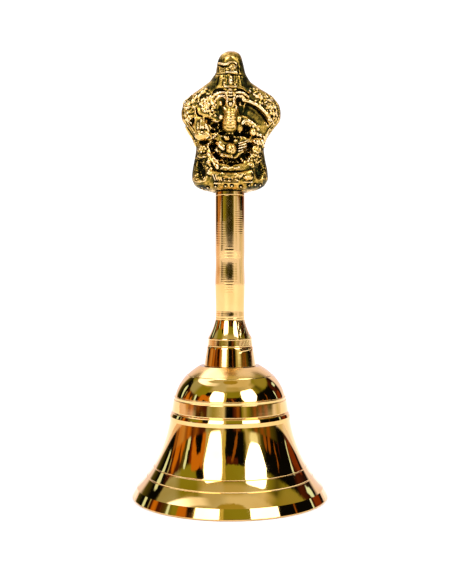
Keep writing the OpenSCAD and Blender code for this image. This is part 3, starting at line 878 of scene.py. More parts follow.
def smooth_rows(rows, zs):
    """Each column of the rows over the heights zs, averaged with its neighbours."""
    table = np.array(rows, float)
    kernel = np.exp(-(np.arange(-EASE_REACH, EASE_REACH + 1) / EASE_WIDTH) ** 2)
    kernel /= kernel.sum()
    columns = []
    for column in table.T[1:]:
        values = np.interp(zs, table[:, 0], column)
        columns.append(np.convolve(np.pad(values, EASE_REACH, mode="edge"), kernel, "valid"))
    return columns


class Clay:
    """A block of clay, in millimetres: negative inside. Front features are placed by (x, z) on its skin."""

    def __init__(self, low, high, step):
        self.low = np.array(low, float)
        self.step = step
        self.drop = 0.0
        self.skin = None
        self.axes = [np.arange(a, b, step) for a, b in zip(low, high)]
        x, y, z = (a.astype(np.float32) for a in self.axes)
        left, right, front, back = smooth_rows(OUTLINE_ROWS, z)
        x, y = x[:, None, None], y[None, :, None]
        wide = np.where(x < 0, left, right)
        deep = np.where(y < 0, front, back)
        grade = (np.abs(x / wide) ** SQUARENESS + np.abs(y / deep) ** SQUARENESS) ** (1 / SQUARENESS)
        away = np.sqrt(x * x + y * y)
        field = away - away / np.maximum(grade, 0.05)
        slope = np.sqrt(sum(g * g for g in np.gradient(field, step)))
        field = field / np.clip(slope, 0.7, 4.0)
        ends = np.maximum(-z, z - OUTLINE_ROWS[-1][0])
        self.field = np.maximum(np.clip(field, -FIELD_REACH, FIELD_REACH), ends).astype(np.float32)

    def window(self, low, high):
        """The part of the grid between two corners, with its coordinates."""
        start = np.maximum(((np.array(low) - self.low) / self.step).astype(int) - 1, 0)
        end = np.minimum(((np.array(high) - self.low) / self.step).astype(int) + 2, self.field.shape)
        where = tuple(slice(a, b) for a, b in zip(start, end))
        x, y, z = (axis[w] for axis, w in zip(self.axes, where))
        return where, x[:, None, None], y[None, :, None], z[None, None, :]

    def merge(self, where, shape, blend, sign):
        """Adds (sign 1) or cuts (sign -1) a shape's field, eased over blend."""
        field = self.field[where] * sign
        ease = np.maximum(blend - np.abs(field - shape), 0) / blend
        self.field[where] = (np.minimum(field, shape) - ease * ease * blend / 4) * sign

    def front(self, x, z, back=False):
        """The skin's y where the front (or the back) is at (x, z)."""
        i = int(round((x - self.low[0]) / self.step))
        k = int(round((z - self.low[2]) / self.step))
        column = (self.field if self.skin is None else self.skin)[i, :, k]
        inside = np.nonzero(column < 0)[0]
        if len(inside) == 0:
            return 0.0
        j = inside[-1] if back else inside[0]
        other = j + 1 if back else j - 1
        share = column[j] / (column[j] - column[other])
        return self.axes[1][j] + (other - j) * share * self.step

    def hold_skin(self, hold=True):
        """While the skin is held, features stand on it as it is now and not on each other."""
        self.skin = self.field.copy() if hold else None

    def blob(self, x, z, rx, rz, out, ry=None, turn=0.0, blend=0.5, sign=1, back=False):
        """An egg that stands out of the skin, or one pressed into it where sign is -1."""
        ry = ry or min(rx, rz)
        z -= self.drop
        skin = self.front(x, z, back)
        y = skin + (ry - out) * (-1 if back else 1) * sign
        reach = max(rx, rz) + blend + 0.3
        centre, reach = np.array((x, y, z)), np.array((reach, ry + 0.6, reach))
        where, gx, gy, gz = self.window(centre - reach, centre + reach)
        c, s = math.cos(math.radians(turn)), math.sin(math.radians(turn))
        across = ((gx - x) * c + (gz - z) * s) / rx
        along = ((gz - z) * c - (gx - x) * s) / rz
        deep = (gy - y) / ry
        size = np.sqrt(across ** 2 + along ** 2 + deep ** 2)
        slope = np.sqrt((across / rx) ** 2 + (along / rz) ** 2 + (deep / ry) ** 2)
        self.merge(where, size * (size - 1) / np.maximum(slope, 1e-3), blend, sign)

    def pit(self, x, z, rx, rz, depth, **more):
        """An egg pressed into the skin."""
        self.blob(x, z, rx, rz, depth, sign=-1, **more)

    def cord(self, points, r, out, blend=0.25, sign=1, back=False, end_r=None, straight=False):
        """A rod laid along points on the skin, or a groove where sign is -1.

        A straight one bridges its ends."""
        end_r = end_r or r
        points = [(x, z - self.drop) for x, z in points]
        skin = [self.front(x, z, back) for x, z in points]
        if straight:
            skin = np.linspace(skin[0], skin[-1], len(points))
        radii = np.linspace(r, end_r, len(points))
        side = (-1 if back else 1) * sign
        path = [np.array((x, y + (q - out) * side, z)) for (x, z), y, q in zip(points, skin, radii)]
        for a, b, ra, rb in zip(path, path[1:], radii, radii[1:]):
            reach = max(ra, rb) + blend + 0.2
            where, gx, gy, gz = self.window(np.minimum(a, b) - reach, np.maximum(a, b) + reach)
            d = b - a
            t = ((gx - a[0]) * d[0] + (gy - a[1]) * d[1] + (gz - a[2]) * d[2]) / max(d @ d, 1e-9)
            t = np.clip(t, 0, 1)
            apart = (g - start - t * along for g, start, along in zip((gx, gy, gz), a, d))
            self.merge(where, np.sqrt(sum(g ** 2 for g in apart)) - ra - (rb - ra) * t, blend, sign)

    def groove(self, points, r, depth, **more):
        """A groove, cut in passes that are each shallow enough to open it."""
        passes = math.ceil(depth / (1.7 * r))
        for _ in range(passes):
            self.cord(points, r, depth / passes, sign=-1, **more)

    def fingers(self, paths, r, out, straight=False):
        """Rods side by side, each laid on the skin and not on its neighbour."""
        self.hold_skin()
        for path in paths:
            self.cord(path, r, out, blend=0.05, straight=straight)
        self.hold_skin(False)

    def beads(self, points, r, out):
        """A row of round beads on the skin."""
        self.hold_skin()
        for x, z in points:
            self.blob(x, z, r, r, out, blend=0.12)
        self.hold_skin(False)

    def roughen(self, depth, seed):
        """Uneven casting: smooth random dents over the whole skin, in three sizes."""
        chance = np.random.default_rng(seed)
        shape = self.field.shape
        for cells, share in DENTS:
            coarse = chance.uniform(-1, 1, [n // cells + 3 for n in shape]).astype(np.float32)
            for axis, n in enumerate(shape):
                place = np.arange(n) / cells
                start = place.astype(int)
                ease = place - start
                ease = (ease * ease * (3 - 2 * ease)).astype(np.float32)
                ease = ease.reshape([-1 if a == axis else 1 for a in range(3)])
                coarse = np.take(coarse, start, axis) * (1 - ease) + np.take(coarse, start + 1, axis) * ease
            self.field += coarse * depth * share

    def blurred(self, reach):
        """The field averaged over a cube of that many cells each way."""
        field = np.pad(self.field, reach, mode="edge").astype(np.float64)
        for axis in range(3):
            total = np.cumsum(field, axis=axis)
            total = np.insert(total, 0, 0, axis=axis)
            n = self.field.shape[axis]
            width = 2 * reach + 1
            high = np.take(total, np.arange(width, width + n), axis=axis)
            field = (high - np.take(total, np.arange(n), axis=axis)) / width
        return field.astype(np.float32)

    def sample(self, grid, points):
        """Values of a grid at points, by the eight cells round each."""
        p = (points - self.low) / self.step
        i = np.clip(np.floor(p).astype(int), 0, np.array(grid.shape) - 2)
        f = p - i
        total = 0
        for dx in (0, 1):
            for dy in (0, 1):
                for dz in (0, 1):
                    weight = np.prod(np.abs(1 - np.array((dx, dy, dz)) - f), axis=1)
                    total = total + weight * grid[i[:, 0] + dx, i[:, 1] + dy, i[:, 2] + dz]
        return total

    def mesh(self):
        """The skin's points in millimetres, its quads and its triangles."""
        grid = vdb.FloatGrid()
        grid.copyFromArray(self.field)
        grid.transform = vdb.createLinearTransform(voxelSize=self.step)
        points, triangles, quads = grid.convertToPolygons(isovalue=0.0, adaptivity=0.05)
        return points + self.low, quads[:, ::-1], triangles[:, ::-1]


# The deep dark places beside the trunk: x, height, half width and height
TRUNK_HOLLOWS = (
    (-5.1, 22.1, 1.5, 1.1), (-4.3, 20.9, 1.2, 1.5), (-3.2, 21.6, 1.2, 1.8), (-2.6, 19.6, 1.7, 0.9),
    (-5.6, 20.2, 1.0, 0.9), (5.2, 20.6, 1.5, 1.1), (5.9, 19.2, 1.2, 1.5),
)
# The other hollows: x, height, half width and height, depth, half thickness, turn. First the two beside
# the raised hand and the fist, then those at the chest, the arms, the ear and the legs.
SIDE_HOLLOWS = ((-7.6, 23.6, 2.3, 1.2, 1.6, 2.0, -15), (3.9, 19.9, 3.0, 1.7, 2.8, 3.0, 12))
HOLLOWS = (
    (0.3, 17.6, 3.6, 1.6, 1.6, 2.2, 0), (-9.2, 16.6, 2.5, 0.8, 1.5, 1.6, 0),
    (8.7, 25.2, 6.6, 2.7, 1.7, 3.4, -42), (4.9, 27.2, 1.9, 2.0, 1.6, 2.0, 0),
    (-13.2, 22.9, 0.9, 2.2, 1.1, 1.4, -35), (-10.4, 9.3, 1.6, 3.4, 0.9, 2.4, 10),
    (-10.0, 6.2, 2.0, 2.6, 0.9, 2.4, 0), (10.4, 7.6, 2.0, 3.9, 0.9, 2.4, -8),
    (0.0, 9.3, 4.8, 1.4, 1.3, 2.0, 0),
)


def hollow_out(clay):
    """The deep dark places, pressed in before anything is laid on."""
    for x, z, rx, rz in TRUNK_HOLLOWS:
        clay.pit(x, z, rx, rz, 2.4, ry=2.6, blend=0.3)
    for x, z, rx, rz, depth, ry, turn in SIDE_HOLLOWS:
        clay.pit(x, z, rx, rz, depth, ry=ry, turn=turn)
    for i, (x, z) in enumerate(arc(0.3, 14.6, 6.1, 5.0, 165, 375, 16)):
        wide = 1.45 + 0.4 * math.sin(2.3 * i)
        tall = 1.35 + 0.35 * math.cos(1.7 * i)
        clay.pit(x, z, wide, tall, 2.5, ry=2.5, blend=0.3)
    for x, z, rx, rz, depth, ry, turn in HOLLOWS:
        clay.pit(x, z, rx, rz, depth, ry=ry, turn=turn)


def shape_head(clay):
    clay.blob(0.2, 29.5, 5.4, 5.2, 2.0, ry=4.6, blend=1.2)
    for side, shade in ((-1, 1.2), (1, 2.0)):
        x = 0.2 + 3.15 * side
        clay.pit(x, 29.6, 1.45, 2.0, shade, ry=1.5)
        clay.pit(x + 0.35 * side, 27.3, 0.9, 1.9, shade * 0.8, ry=1.4)
        clay.blob(x + 0.1 * side, 29.5, 0.75, 0.9, 0.75, blend=0.2)
        clay.cord(arc(x, 29.7, 1.95, 2.05, 10 * side, 180 + 10 * side), 0.36, 0.55)
        clay.groove(arc(x, 29.8, 2.5, 2.6, 25, 155), 0.26, 0.5)
        clay.cord(arc(x, 29.8, 3.1, 3.2, 30, 150), 0.36, 0.5)
        clay.groove(arc(x, 29.9, 3.7, 3.8, 40, 140), 0.3, 0.65)
    clay.blob(0.15, 31.2, 1.5, 3.0, 0.7, ry=1.6)
    clay.cord([(-1.6, 33.1), (-1.2, 31.9), (-0.85, 30.6), (-0.9, 29.6)], 0.36, 0.5, blend=0.15)
    clay.cord([(2.0, 33.1), (1.65, 31.9), (1.3, 30.6), (1.25, 29.6)], 0.36, 0.5, blend=0.15)
    for z in (33.6, 32.5, 31.5):
        clay.groove(arc(0.2, z, 0.85, 0.5, 200, 340, 6), 0.2, 0.4)
    clay.blob(0.1, 28.8, 1.5, 1.6, 0.7, blend=0.2)
    clay.groove(arc(0.1, 28.85, 0.7, 0.85, 0, 360, 14), 0.2, 0.4, blend=0.1)
    clay.groove(arc(0.1, 28.6, 1.65, 1.7, 195, 345, 10), 0.24, 0.5, blend=0.1)
    clay.cord(arc(0.1, 28.5, 2.15, 2.0, 200, 340, 10), 0.34, 0.5, blend=0.15)


TRUNK = ((0.1, 26.4), (0.05, 24.8), (-0.05, 22.5))


def shape_trunk(clay):
    clay.cord(TRUNK, 2.35, 1.8, blend=0.5, straight=True, end_r=2.7)
    wrinkles = ((27.0, 1.5), (26.1, 1.8), (25.2, 1.3), (24.2, 1.9), (23.3, 1.2), (22.3, 2.0), (21.2, 1.5))
    for i, (z, half) in enumerate(wrinkles):
        x = 0.25 - 0.22 * (i % 3)
        clay.groove(arc(x, z + 0.35, half, 0.42, 205, 335, 8), 0.24, 0.09, blend=0.25)
    clay.blob(-3.0, 25.1, 0.8, 0.9, 1.4, blend=0.2)
    clay.blob(3.0, 24.4, 0.9, 1.2, 1.5, blend=0.25)
    clay.blob(3.3, 22.0, 1.3, 1.7, 1.9, blend=0.4)
    curl = [(4.2, 23.0), (4.9, 23.8), (6.0, 23.9), (7.1, 23.2), (8.3, 22.2), (9.3, 21.2)]
    clay.cord(curl, 0.62, 1.7, blend=0.2)
    clay.beads([(5.1, 23.0), (6.1, 22.9), (6.8, 22.3), (7.7, 21.9), (8.6, 21.0)], 0.5, 1.1)
    clay.groove([(4.4, 22.2), (5.9, 22.1), (7.3, 21.2), (8.6, 20.2)], 0.22, 0.4)


def shape_crown(clay):
    for x in (-4.1, -2.3, -1.6, -0.9, 1.2, 2.0, 2.7, 3.9):
        clay.groove([(x * 1.06, 35.3), (x * 0.98, 37.0), (x * 0.92, 38.5)], 0.2, 0.22, blend=0.2)
    clay.blob(0.25, 36.6, 0.75, 1.5, 0.6, blend=0.15)
    clay.groove([(-0.5, 35.4), (0.25, 37.9), (1.0, 35.4)], 0.14, 0.25, blend=0.08)
    for x in (-4.0, -3.4, -2.8, -2.2, -1.6, 3.0, 3.6):
        clay.groove([(x, 39.7), (x * 0.97, 41.6)], 0.19, 0.3, blend=0.1)
    clay.groove([(x, 39.15) for x in np.arange(-4.4, -0.8, 0.6)], 0.26, 0.42, blend=0.1)
    clay.groove([(x, 38.85) for x in np.arange(0.4, 4.4, 0.6)], 0.24, 0.36, blend=0.1)
    clay.cord([(x, 39.75) for x in np.arange(-1.3, 2.5, 0.5)], 0.34, 0.45, blend=0.12)
    clay.groove([(-3.9, 42.5), (-2.9, 42.0), (-1.9, 41.6), (-1.1, 41.7)], 0.32, 0.5, blend=0.12)
    brim = [(-3.9, 43.2), (-2.9, 42.7), (-1.9, 42.3), (-0.9, 42.5), (0.2, 43.2), (1.4, 43.2), (2.2, 42.6)]
    clay.cord(brim, 0.3, 0.35, blend=0.15)
    clay.groove([(2.5, 42.7), (2.6, 41.0), (2.7, 39.4)], 0.22, 0.34, blend=0.1)
    clay.blob(0.8, 41.2, 1.4, 1.8, 0.5, blend=0.2)
    clay.groove(arc(0.8, 41.3, 1.3, 1.5, -30, 210, 12), 0.16, 0.3, blend=0.08)
    clay.pit(0.8, 42.1, 0.35, 0.3, 0.4, blend=0.1)
    for x in (0.1, 0.75, 1.4):
        clay.groove([(x, 40.3), (x, 41.5)], 0.12, 0.2, blend=0.06)
    clay.cord([(x, 34.8) for x in np.arange(-1.7, 2.2, 0.6)], 0.42, 0.6, blend=0.15)
    clay.groove([(-5.4, 33.0), (-4.9, 33.7), (-3.8, 34.1), (-2.5, 34.1)], 0.28, 0.5, blend=0.1)
    clay.groove([(2.4, 34.0), (3.4, 34.0), (4.4, 33.6), (5.2, 32.8)], 0.28, 0.5, blend=0.1)


def shape_cap(clay):
    clay.blob(-0.2, 44.6, 1.6, 0.7, 0.22, blend=0.5, turn=12)
    for x in (-2.9, -2.2, 2.2, 2.8, 3.3):
        clay.groove([(x, 43.9), (x * 0.93, 45.3)], 0.14, 0.12, blend=0.08)


def shape_ears(clay):
    rim = [(4.6, 30.2), (6.4, 29.9), (8.4, 29.1), (10.2, 27.9), (12.0, 26.1), (13.4, 24.0)]
    clay.cord(rim, 0.6, 0.9, blend=0.25)
    clay.groove([(3.9, 29.3), (6.0, 29.0), (8.0, 28.1), (9.8, 26.6), (11.4, 24.7), (12.8, 22.6)], 0.42, 0.7)
    clay.blob(8.0, 24.9, 4.6, 1.5, 0.5, ry=1.5, turn=-42, blend=1.0)
    clay.groove([(-11.6, 28.0), (-11.2, 26.6), (-10.6, 25.5), (-9.4, 25.1)], 0.34, 0.6, blend=0.15)


def shape_arms(clay):
    palm = (-9.0, 19.2)
    clay.blob(*palm, 2.7, 2.1, 2.2, ry=2.1, blend=0.4)
    clay.blob(-8.9, 21.6, 1.9, 2.2, 1.3, ry=1.6, blend=0.3)
    tips = ((-10.6, 23.2), (-9.7, 24.2), (-8.8, 24.6), (-7.9, 24.3))
    clay.fingers([[(x - 0.1, 21.2), (x, top)] for x, top in tips], 0.4, 0.75, straight=True)
    clay.blob(-9.4, 21.5, 0.55, 0.45, 0.7, blend=0.12)
    clay.cord([(-8.0, 22.2), (-7.4, 21.2), (-7.1, 20.4)], 0.45, 0.9, blend=0.12)
    clay.groove(arc(-9.3, 19.9, 0.75, 0.5, 0, 360, 10), 0.16, 0.3, blend=0.08)
    clay.blob(7.6, 20.0, 1.25, 1.5, 2.1, blend=0.25)
    for x, z in ((9.1, 19.3), (10.2, 19.0), (11.3, 18.4)):
        clay.blob(x, z, 0.5, 0.8, 1.4, turn=20, blend=0.15)
    clay.blob(9.3, 16.9, 2.1, 1.2, 2.1, blend=0.25, turn=-6)
    for i in range(3):
        x = 8.3 + 0.85 * i
        clay.groove([(x, 17.7), (x + 0.45, 16.4)], 0.2, 0.4, blend=0.06)
    clay.cord([(12.9, 21.5), (12.2, 19.6), (11.5, 17.6), (10.8, 15.6)], 0.5, 0.45)
    clay.cord([(-14.6, 22.4), (-13.6, 20.6), (-12.2, 18.6), (-11.4, 16.4)], 0.6, 0.45)


def shape_lap(clay):
    clay.blob(0.35, 14.0, 1.95, 2.25, 1.9, ry=2.0, blend=0.25)
    clay.groove(arc(0.5, 14.9, 1.25, 1.1, 20, 160, 8), 0.13, 0.22, blend=0.06)
    for x, z in ((0.3, 13.7), (1.0, 13.2), (0.1, 12.7), (0.9, 14.2)):
        clay.pit(x, z, 0.25, 0.3, 0.3, blend=0.06)
    clay.cord([(-4.5, 13.9), (-3.9, 12.7), (-2.6, 12.0), (-1.2, 11.7), (0.4, 11.6)], 0.62, 1.0, blend=0.2)
    clay.beads([(-4.1, 13.4), (-3.4, 12.6), (-2.6, 12.2), (-1.8, 12.6), (-1.4, 11.7)], 0.36, 0.5)
    for x, z in ((-3.6, 12.7), (-2.9, 12.0), (-2.0, 11.9)):
        clay.pit(x, z, 0.25, 0.25, 0.35, blend=0.06)
    clay.cord([(-4.2, 16.2), (-3.4, 15.2), (-2.2, 14.1)], 0.62, 1.5, blend=0.2)
    clay.cord([(-3.4, 16.5), (-2.7, 15.7), (-2.0, 15.1)], 0.4, 1.2, blend=0.12)
    clay.blob(4.2, 15.3, 1.7, 1.4, 1.0, turn=25, blend=0.3)
    curled = ((2.8, 16.0), (4.1, 16.3), (5.3, 16.8), (6.0, 17.3))
    clay.fingers([[(x, z - 0.86 * i) for x, z in curled] for i in range(4)], 0.27, 0.7)
    clay.blob(-1.05, 17.7, 1.0, 0.75, 1.5, blend=0.2)
    clay.blob(-1.7, 18.2, 0.45, 0.4, 0.6, blend=0.1)
    clay.blob(1.9, 16.9, 0.85, 0.75, 1.0, blend=0.2)
    clay.beads(zip(np.linspace(-4.2, -6.9, 7), np.linspace(19.5, 16.4, 7)), 0.38, 0.7)


def shape_legs(clay):
    clay.blob(-9.1, 14.1, 1.8, 1.7, 1.2, blend=0.3)
    clay.beads(arc(-9.1, 14.2, 0.95, 0.95, 0, 300, 5), 0.42, 0.4)
    clay.blob(-9.1, 14.2, 0.3, 0.3, 0.4, blend=0.08)
    for z in (12.2, 11.5):
        clay.cord(arc(-9.0, z + 0.9, 1.8, 0.9, 200, 330, 8), 0.24, 0.4, blend=0.1)
    clay.blob(8.9, 14.0, 1.5, 1.5, 1.0, blend=0.3)
    clay.cord(arc(8.8, 14.2, 1.2, 1.1, 60, 300, 8), 0.26, 0.35, blend=0.1)
    for z in (12.3, 11.6):
        clay.cord([(6.9, z), (8.6, z + 0.3), (10.6, z)], 0.24, 0.4, blend=0.1)
    clay.cord([(-7.4, 12.6), (-6.2, 10.6), (-5.2, 9.1), (-4.3, 7.4)], 0.42, 0.8, blend=0.15)
    clay.cord([(-6.6, 12.8), (-5.3, 10.9), (-4.4, 9.8), (-3.7, 8.6)], 0.34, 0.6, blend=0.12)
    clay.blob(-6.9, 9.6, 0.7, 1.3, 0.8, turn=8, blend=0.15)
    clay.blob(-6.3, 7.0, 0.65, 1.0, 0.8, turn=-10, blend=0.15)
    clay.blob(-4.2, 8.0, 0.55, 1.0, 0.8, turn=15, blend=0.15)
    clay.blob(5.0, 9.5, 0.8, 0.9, 0.9, blend=0.15)
    clay.blob(6.9, 8.7, 1.3, 1.0, 0.9, turn=-20, blend=0.2)
    clay.groove(arc(6.9, 8.7, 0.8, 0.6, 0, 360, 10), 0.14, 0.25, blend=0.06)
    clay.cord([(-6.8, 6.2), (-3.4, 5.2), (0.0, 4.9), (3.4, 5.2), (6.8, 6.2)], 0.9, 1.1, blend=0.25)
    clay.beads([(x, 7.6 + 0.25 * math.sin(2.6 * x)) for x in np.arange(-2.8, 3.6, 0.72)], 0.42, 0.5)
    clay.groove([(x, 6.45 + 0.01 * x * x) for x in np.arange(-5.0, 5.2, 0.8)], 0.24, 0.6, blend=0.1)
    for x in (-1.9, -0.6, 0.9, 2.1):
        clay.cord(arc(x, 5.3, 0.55, 0.6, 190, 350, 6), 0.17, 0.3, blend=0.06)
    clay.groove([(x, 3.6 + 0.012 * x * x) for x in np.arange(-3.6, 3.8, 0.7)], 0.2, 0.4, blend=0.08)
    toes = [[(-5.6 + 0.78 * i, 5.3 - 0.1 * i), (-4.9 + 0.7 * i, 3.5)] for i in range(4)]
    clay.fingers(toes, 0.28, 0.6)
    clay.blob(5.6, 4.7, 2.1, 1.35, 1.2, ry=1.5, blend=0.25)
    clay.groove([(7.1, 6.0), (7.7, 5.1), (7.6, 4.2), (7.0, 3.5)], 0.17, 0.45, blend=0.06)
    clay.groove(arc(5.3, 4.4, 1.2, 0.7, 100, 260, 8), 0.13, 0.25, blend=0.06)
    clay.blob(-4.3, 2.55, 1.35, 0.34, 0.55, blend=0.1)
    clay.blob(5.8, 3.0, 1.8, 0.34, 0.55, blend=0.1)
    clay.groove(arc(9.0, 9.9, 0.95, 0.9, 90, 450, 3), 0.22, 0.6, blend=0.1)
    clay.cord([(-11.6, 3.6), (-10.0, 3.2), (-8.2, 3.6)], 0.24, 0.35, blend=0.1)
    for side, top in ((-1, 9), (1, 7)):
        for i in range(top):
            z = 4.4 + 0.85 * i
            clay.groove([(10.0 * side, z), (11.5 * side, z + 0.8)], 0.14, 0.28, blend=0.06)
            clay.groove([(10.0 * side, z), (8.7 * side, z + 0.8)], 0.14, 0.28, blend=0.06)


# Drilled rings along the seat's rim: x and height
RIM_DOTS = (
    (-9.4, 1.3), (-7.4, 1.35), (-4.8, 1.6), (-1.5, 1.7), (0.6, 1.7), (3.6, 1.5), (6.3, 2.0),
    (8.4, 2.2), (10.1, 2.3),
)


def shape_seat(clay):
    clay.groove([(x, 0.52) for x in np.arange(-4.4, 3.7, 0.8)], 0.34, 1.0, blend=0.08)
    for x, z in RIM_DOTS:
        clay.pit(x, z, 0.72, 0.72, 0.7, ry=0.9, blend=0.08)
        clay.blob(x, z, 0.34, 0.34, 0.6, blend=0.05)
    clay.groove([(x, 2.9 + 0.004 * x * x) for x in np.arange(-2.9, 3.5, 0.8)], 0.18, 0.35, blend=0.08)
    for x in np.arange(-10, 10.5, 2.1):
        clay.pit(x, 1.8, 0.55, 0.55, 0.35, blend=0.1, back=True)


# Grit: centre, half width and height, how many grains, their size and how far they stand out
GRIT = (
    (-12.4, 30.4, 2.4, 2.2, 36, 0.3, 0.35), (-14.8, 26.8, 1.3, 3.0, 40, 0.28, 0.3),
    (12.4, 31.2, 2.2, 1.6, 36, 0.3, 0.35), (-8.6, 33.4, 2.2, 1.0, 24, 0.28, 0.3),
    (8.2, 33.4, 2.4, 1.1, 26, 0.28, 0.3), (15.2, 24.4, 1.2, 2.4, 30, 0.28, 0.3),
    (-11.6, 18.0, 1.0, 3.0, 18, 0.26, 0.25), (11.2, 16.8, 0.9, 2.6, 18, 0.26, 0.25),
    (0.0, 4.4, 6.6, 1.6, 60, 0.26, 0.28), (-9.6, 9.5, 2.2, 3.4, 44, 0.26, 0.22),
    (10.2, 8.4, 2.0, 3.6, 40, 0.26, 0.22), (0.2, 36.8, 3.8, 1.6, 34, 0.24, 0.22),
    (0.6, 41.2, 2.8, 1.3, 22, 0.24, 0.2), (-9.0, 15.0, 2.0, 1.2, 18, 0.26, 0.25),
    (-7.3, 28.9, 2.7, 2.6, 150, 0.34, 0.5), (-5.7, 25.0, 1.3, 1.7, 26, 0.28, 0.35),
    (-13.4, 25.2, 1.9, 3.4, 50, 0.3, 0.3), (13.9, 27.2, 1.9, 2.9, 66, 0.3, 0.35),
    (11.0, 29.6, 3.0, 1.4, 34, 0.3, 0.3), (-7.2, 9.8, 2.0, 2.4, 26, 0.32, 0.3),
    (7.6, 11.2, 2.6, 2.4, 50, 0.32, 0.4), (9.4, 14.8, 1.8, 2.0, 26, 0.32, 0.35),
    (0.0, 9.4, 3.6, 1.0, 34, 0.3, 0.35), (-9.6, 4.7, 2.2, 1.6, 26, 0.28, 0.3),
    (13.5, 22.3, 1.4, 1.9, 22, 0.3, 0.3), (-5.4, 32.2, 1.8, 1.0, 18, 0.3, 0.3),
    (5.2, 31.4, 2.0, 1.2, 20, 0.3, 0.3), (-4.4, 21.4, 1.6, 1.7, 16, 0.28, 0.3),
    (4.4, 19.9, 2.0, 1.0, 12, 0.26, 0.3), (0.6, 10.4, 3.6, 0.9, 22, 0.26, 0.3),
    (-6.3, 17.6, 1.4, 1.8, 26, 0.3, 0.35), (-6.6, 13.6, 1.0, 2.6, 22, 0.3, 0.3),
    (-2.6, 10.2, 2.6, 0.8, 18, 0.28, 0.3), (6.4, 14.0, 1.0, 2.6, 20, 0.3, 0.3),
    (0.6, 18.4, 3.6, 0.8, 20, 0.26, 0.3),
)


# Leaves on the left shoulder, with their turn, and nuggets on both, with their size
LEAVES = ((-12.6, 30.4, 58), (-11.5, 31.3, 52), (-10.2, 32.0, 48), (-13.8, 29.2, 68), (-9.0, 33.2, 35))
NUGGETS = (
    (9.0, 31.6, 0.85), (10.3, 31.2, 0.95), (9.9, 32.4, 0.6), (13.2, 30.5, 0.7), (14.1, 30.2, 0.6),
    (6.6, 33.3, 0.55), (8.0, 32.2, 0.5), (-7.9, 34.2, 0.7), (15.0, 28.2, 0.55), (14.7, 26.4, 0.6),
)


def dress_shoulders(clay):
    """Worn chased ornament: leaves, curls and grit, laid one by one and scattered from a fixed seed."""
    chance = np.random.default_rng(7)
    for x, z, turn in LEAVES:
        clay.blob(x, z, 1.15, 0.42, 0.7, turn=turn, blend=0.1)
    band = [(-14.2, 28.1), (-11.8, 28.2), (-11.6, 26.6), (-14.4, 26.3), (-14.2, 28.1)]
    clay.cord(band, 0.26, 0.4, blend=0.1)
    clay.cord([(-14.6, 25.6), (-13.4, 24.9), (-12.4, 24.0)], 0.26, 0.4, blend=0.1)
    clay.cord([(-14.9, 24.5), (-13.8, 23.8), (-12.9, 22.9)], 0.26, 0.4, blend=0.1)
    clay.cord(arc(-14.9, 29.8, 0.9, 1.5, 60, 260, 10), 0.26, 0.35, blend=0.1)
    for x, z, r in NUGGETS:
        clay.blob(x, z, r, r * 0.75, 0.7, turn=-25, blend=0.1)
    clay.cord([(13.0, 29.2), (14.0, 28.0), (13.4, 26.9), (14.4, 25.8)], 0.24, 0.35, blend=0.08)
    clay.cord([(14.9, 24.8), (14.2, 23.6), (14.8, 22.6)], 0.28, 0.35, blend=0.08)
    for x, z, rx, rz, count, size, out in GRIT:
        clay.hold_skin()
        for _ in range(count):
            turn, away = chance.uniform(0, TAU), math.sqrt(chance.uniform(0, 1))
            r = size * chance.uniform(0.7, 1.35)
            place = (x + rx * away * math.cos(turn), z + rz * away * math.sin(turn))
            tall, stand = r * chance.uniform(0.7, 1.3), out * chance.uniform(0.4, 1.5)
            clay.blob(*place, r, tall, stand, blend=0.04)
        clay.hold_skin(False)


def chase_edges(clay):
    """Hair lines that follow the block's outline, on both arms."""
    heights = np.arange(19.5, 33.5, 0.9)
    left, right = smooth_rows(OUTLINE_ROWS, heights)[:2]
    for inset, r in ((0.75, 0.2), (1.7, 0.17)):
        clay.groove([(inset - w, h) for w, h in zip(left, heights)], r, 0.35, blend=0.08)
        clay.groove([(w - inset, h) for w, h in zip(right, heights)], r, 0.35, blend=0.08)
    for side in (-1, 1):
        clay.groove([(11.0 * side, 12.5), (11.4 * side, 9.0), (12.0 * side, 4.0)], 0.2, 0.35, blend=0.08)


# Patina that the hollows alone don't explain, and painted light. The positive ones also paint shade on the
# sides of the crown and the cap, on the cheeks, beside and under the trunk and in the gap at the seat's
# foot.
# The negative ones paint highlights on the trunk, the forehead, the palm, the fist, the left ear, the right
# shoulder's nuggets and the seat's band. x, height, half width and height, and how much darker
PATINA_AND_PAINTED_LIGHT = (
    (-4.6, 36.6, 1.7, 2.4, 0.2), (4.9, 37.5, 1.5, 3.4, 0.28), (-3.2, 43.9, 1.4, 1.3, 0.22),
    (3.7, 42.0, 1.0, 3.0, 0.25), (-5.8, 34.3, 1.6, 1.4, 0.22), (6.2, 34.6, 1.8, 1.6, 0.26),
    (2.4, 45.0, 1.2, 1.8, 0.12), (-10.5, 8.0, 2.9, 4.8, 0.36), (10.6, 7.4, 2.9, 4.8, 0.36),
    (9.2, 24.6, 4.6, 2.6, 0.05), (4.7, 27.4, 1.4, 2.2, 0.34), (-5.0, 26.6, 1.2, 2.4, 0.15),
    (0.4, 11.0, 4.6, 1.0, 0.25), (0.3, 18.5, 5.6, 1.8, 0.15), (-12.0, 25.2, 1.4, 2.6, 0.12),
    (0.0, 23.2, 2.5, 3.6, -0.1), (-4.0, 20.9, 2.4, 1.8, 0.2), (4.8, 19.9, 2.2, 1.6, 0.2),
    (-9.0, 19.4, 2.8, 3.0, -0.08), (-7.2, 28.8, 2.8, 2.6, -0.1), (0.0, 1.4, 11.0, 1.2, -0.06),
    (9.6, 31.6, 2.0, 1.3, -0.14), (0.1, 31.2, 1.8, 2.6, -0.08), (9.3, 17.6, 2.6, 2.4, -0.06),
    (-0.4, 0.15, 4.4, 0.45, 0.7), (0.05, 24.2, 2.6, 3.0, -0.08),
)


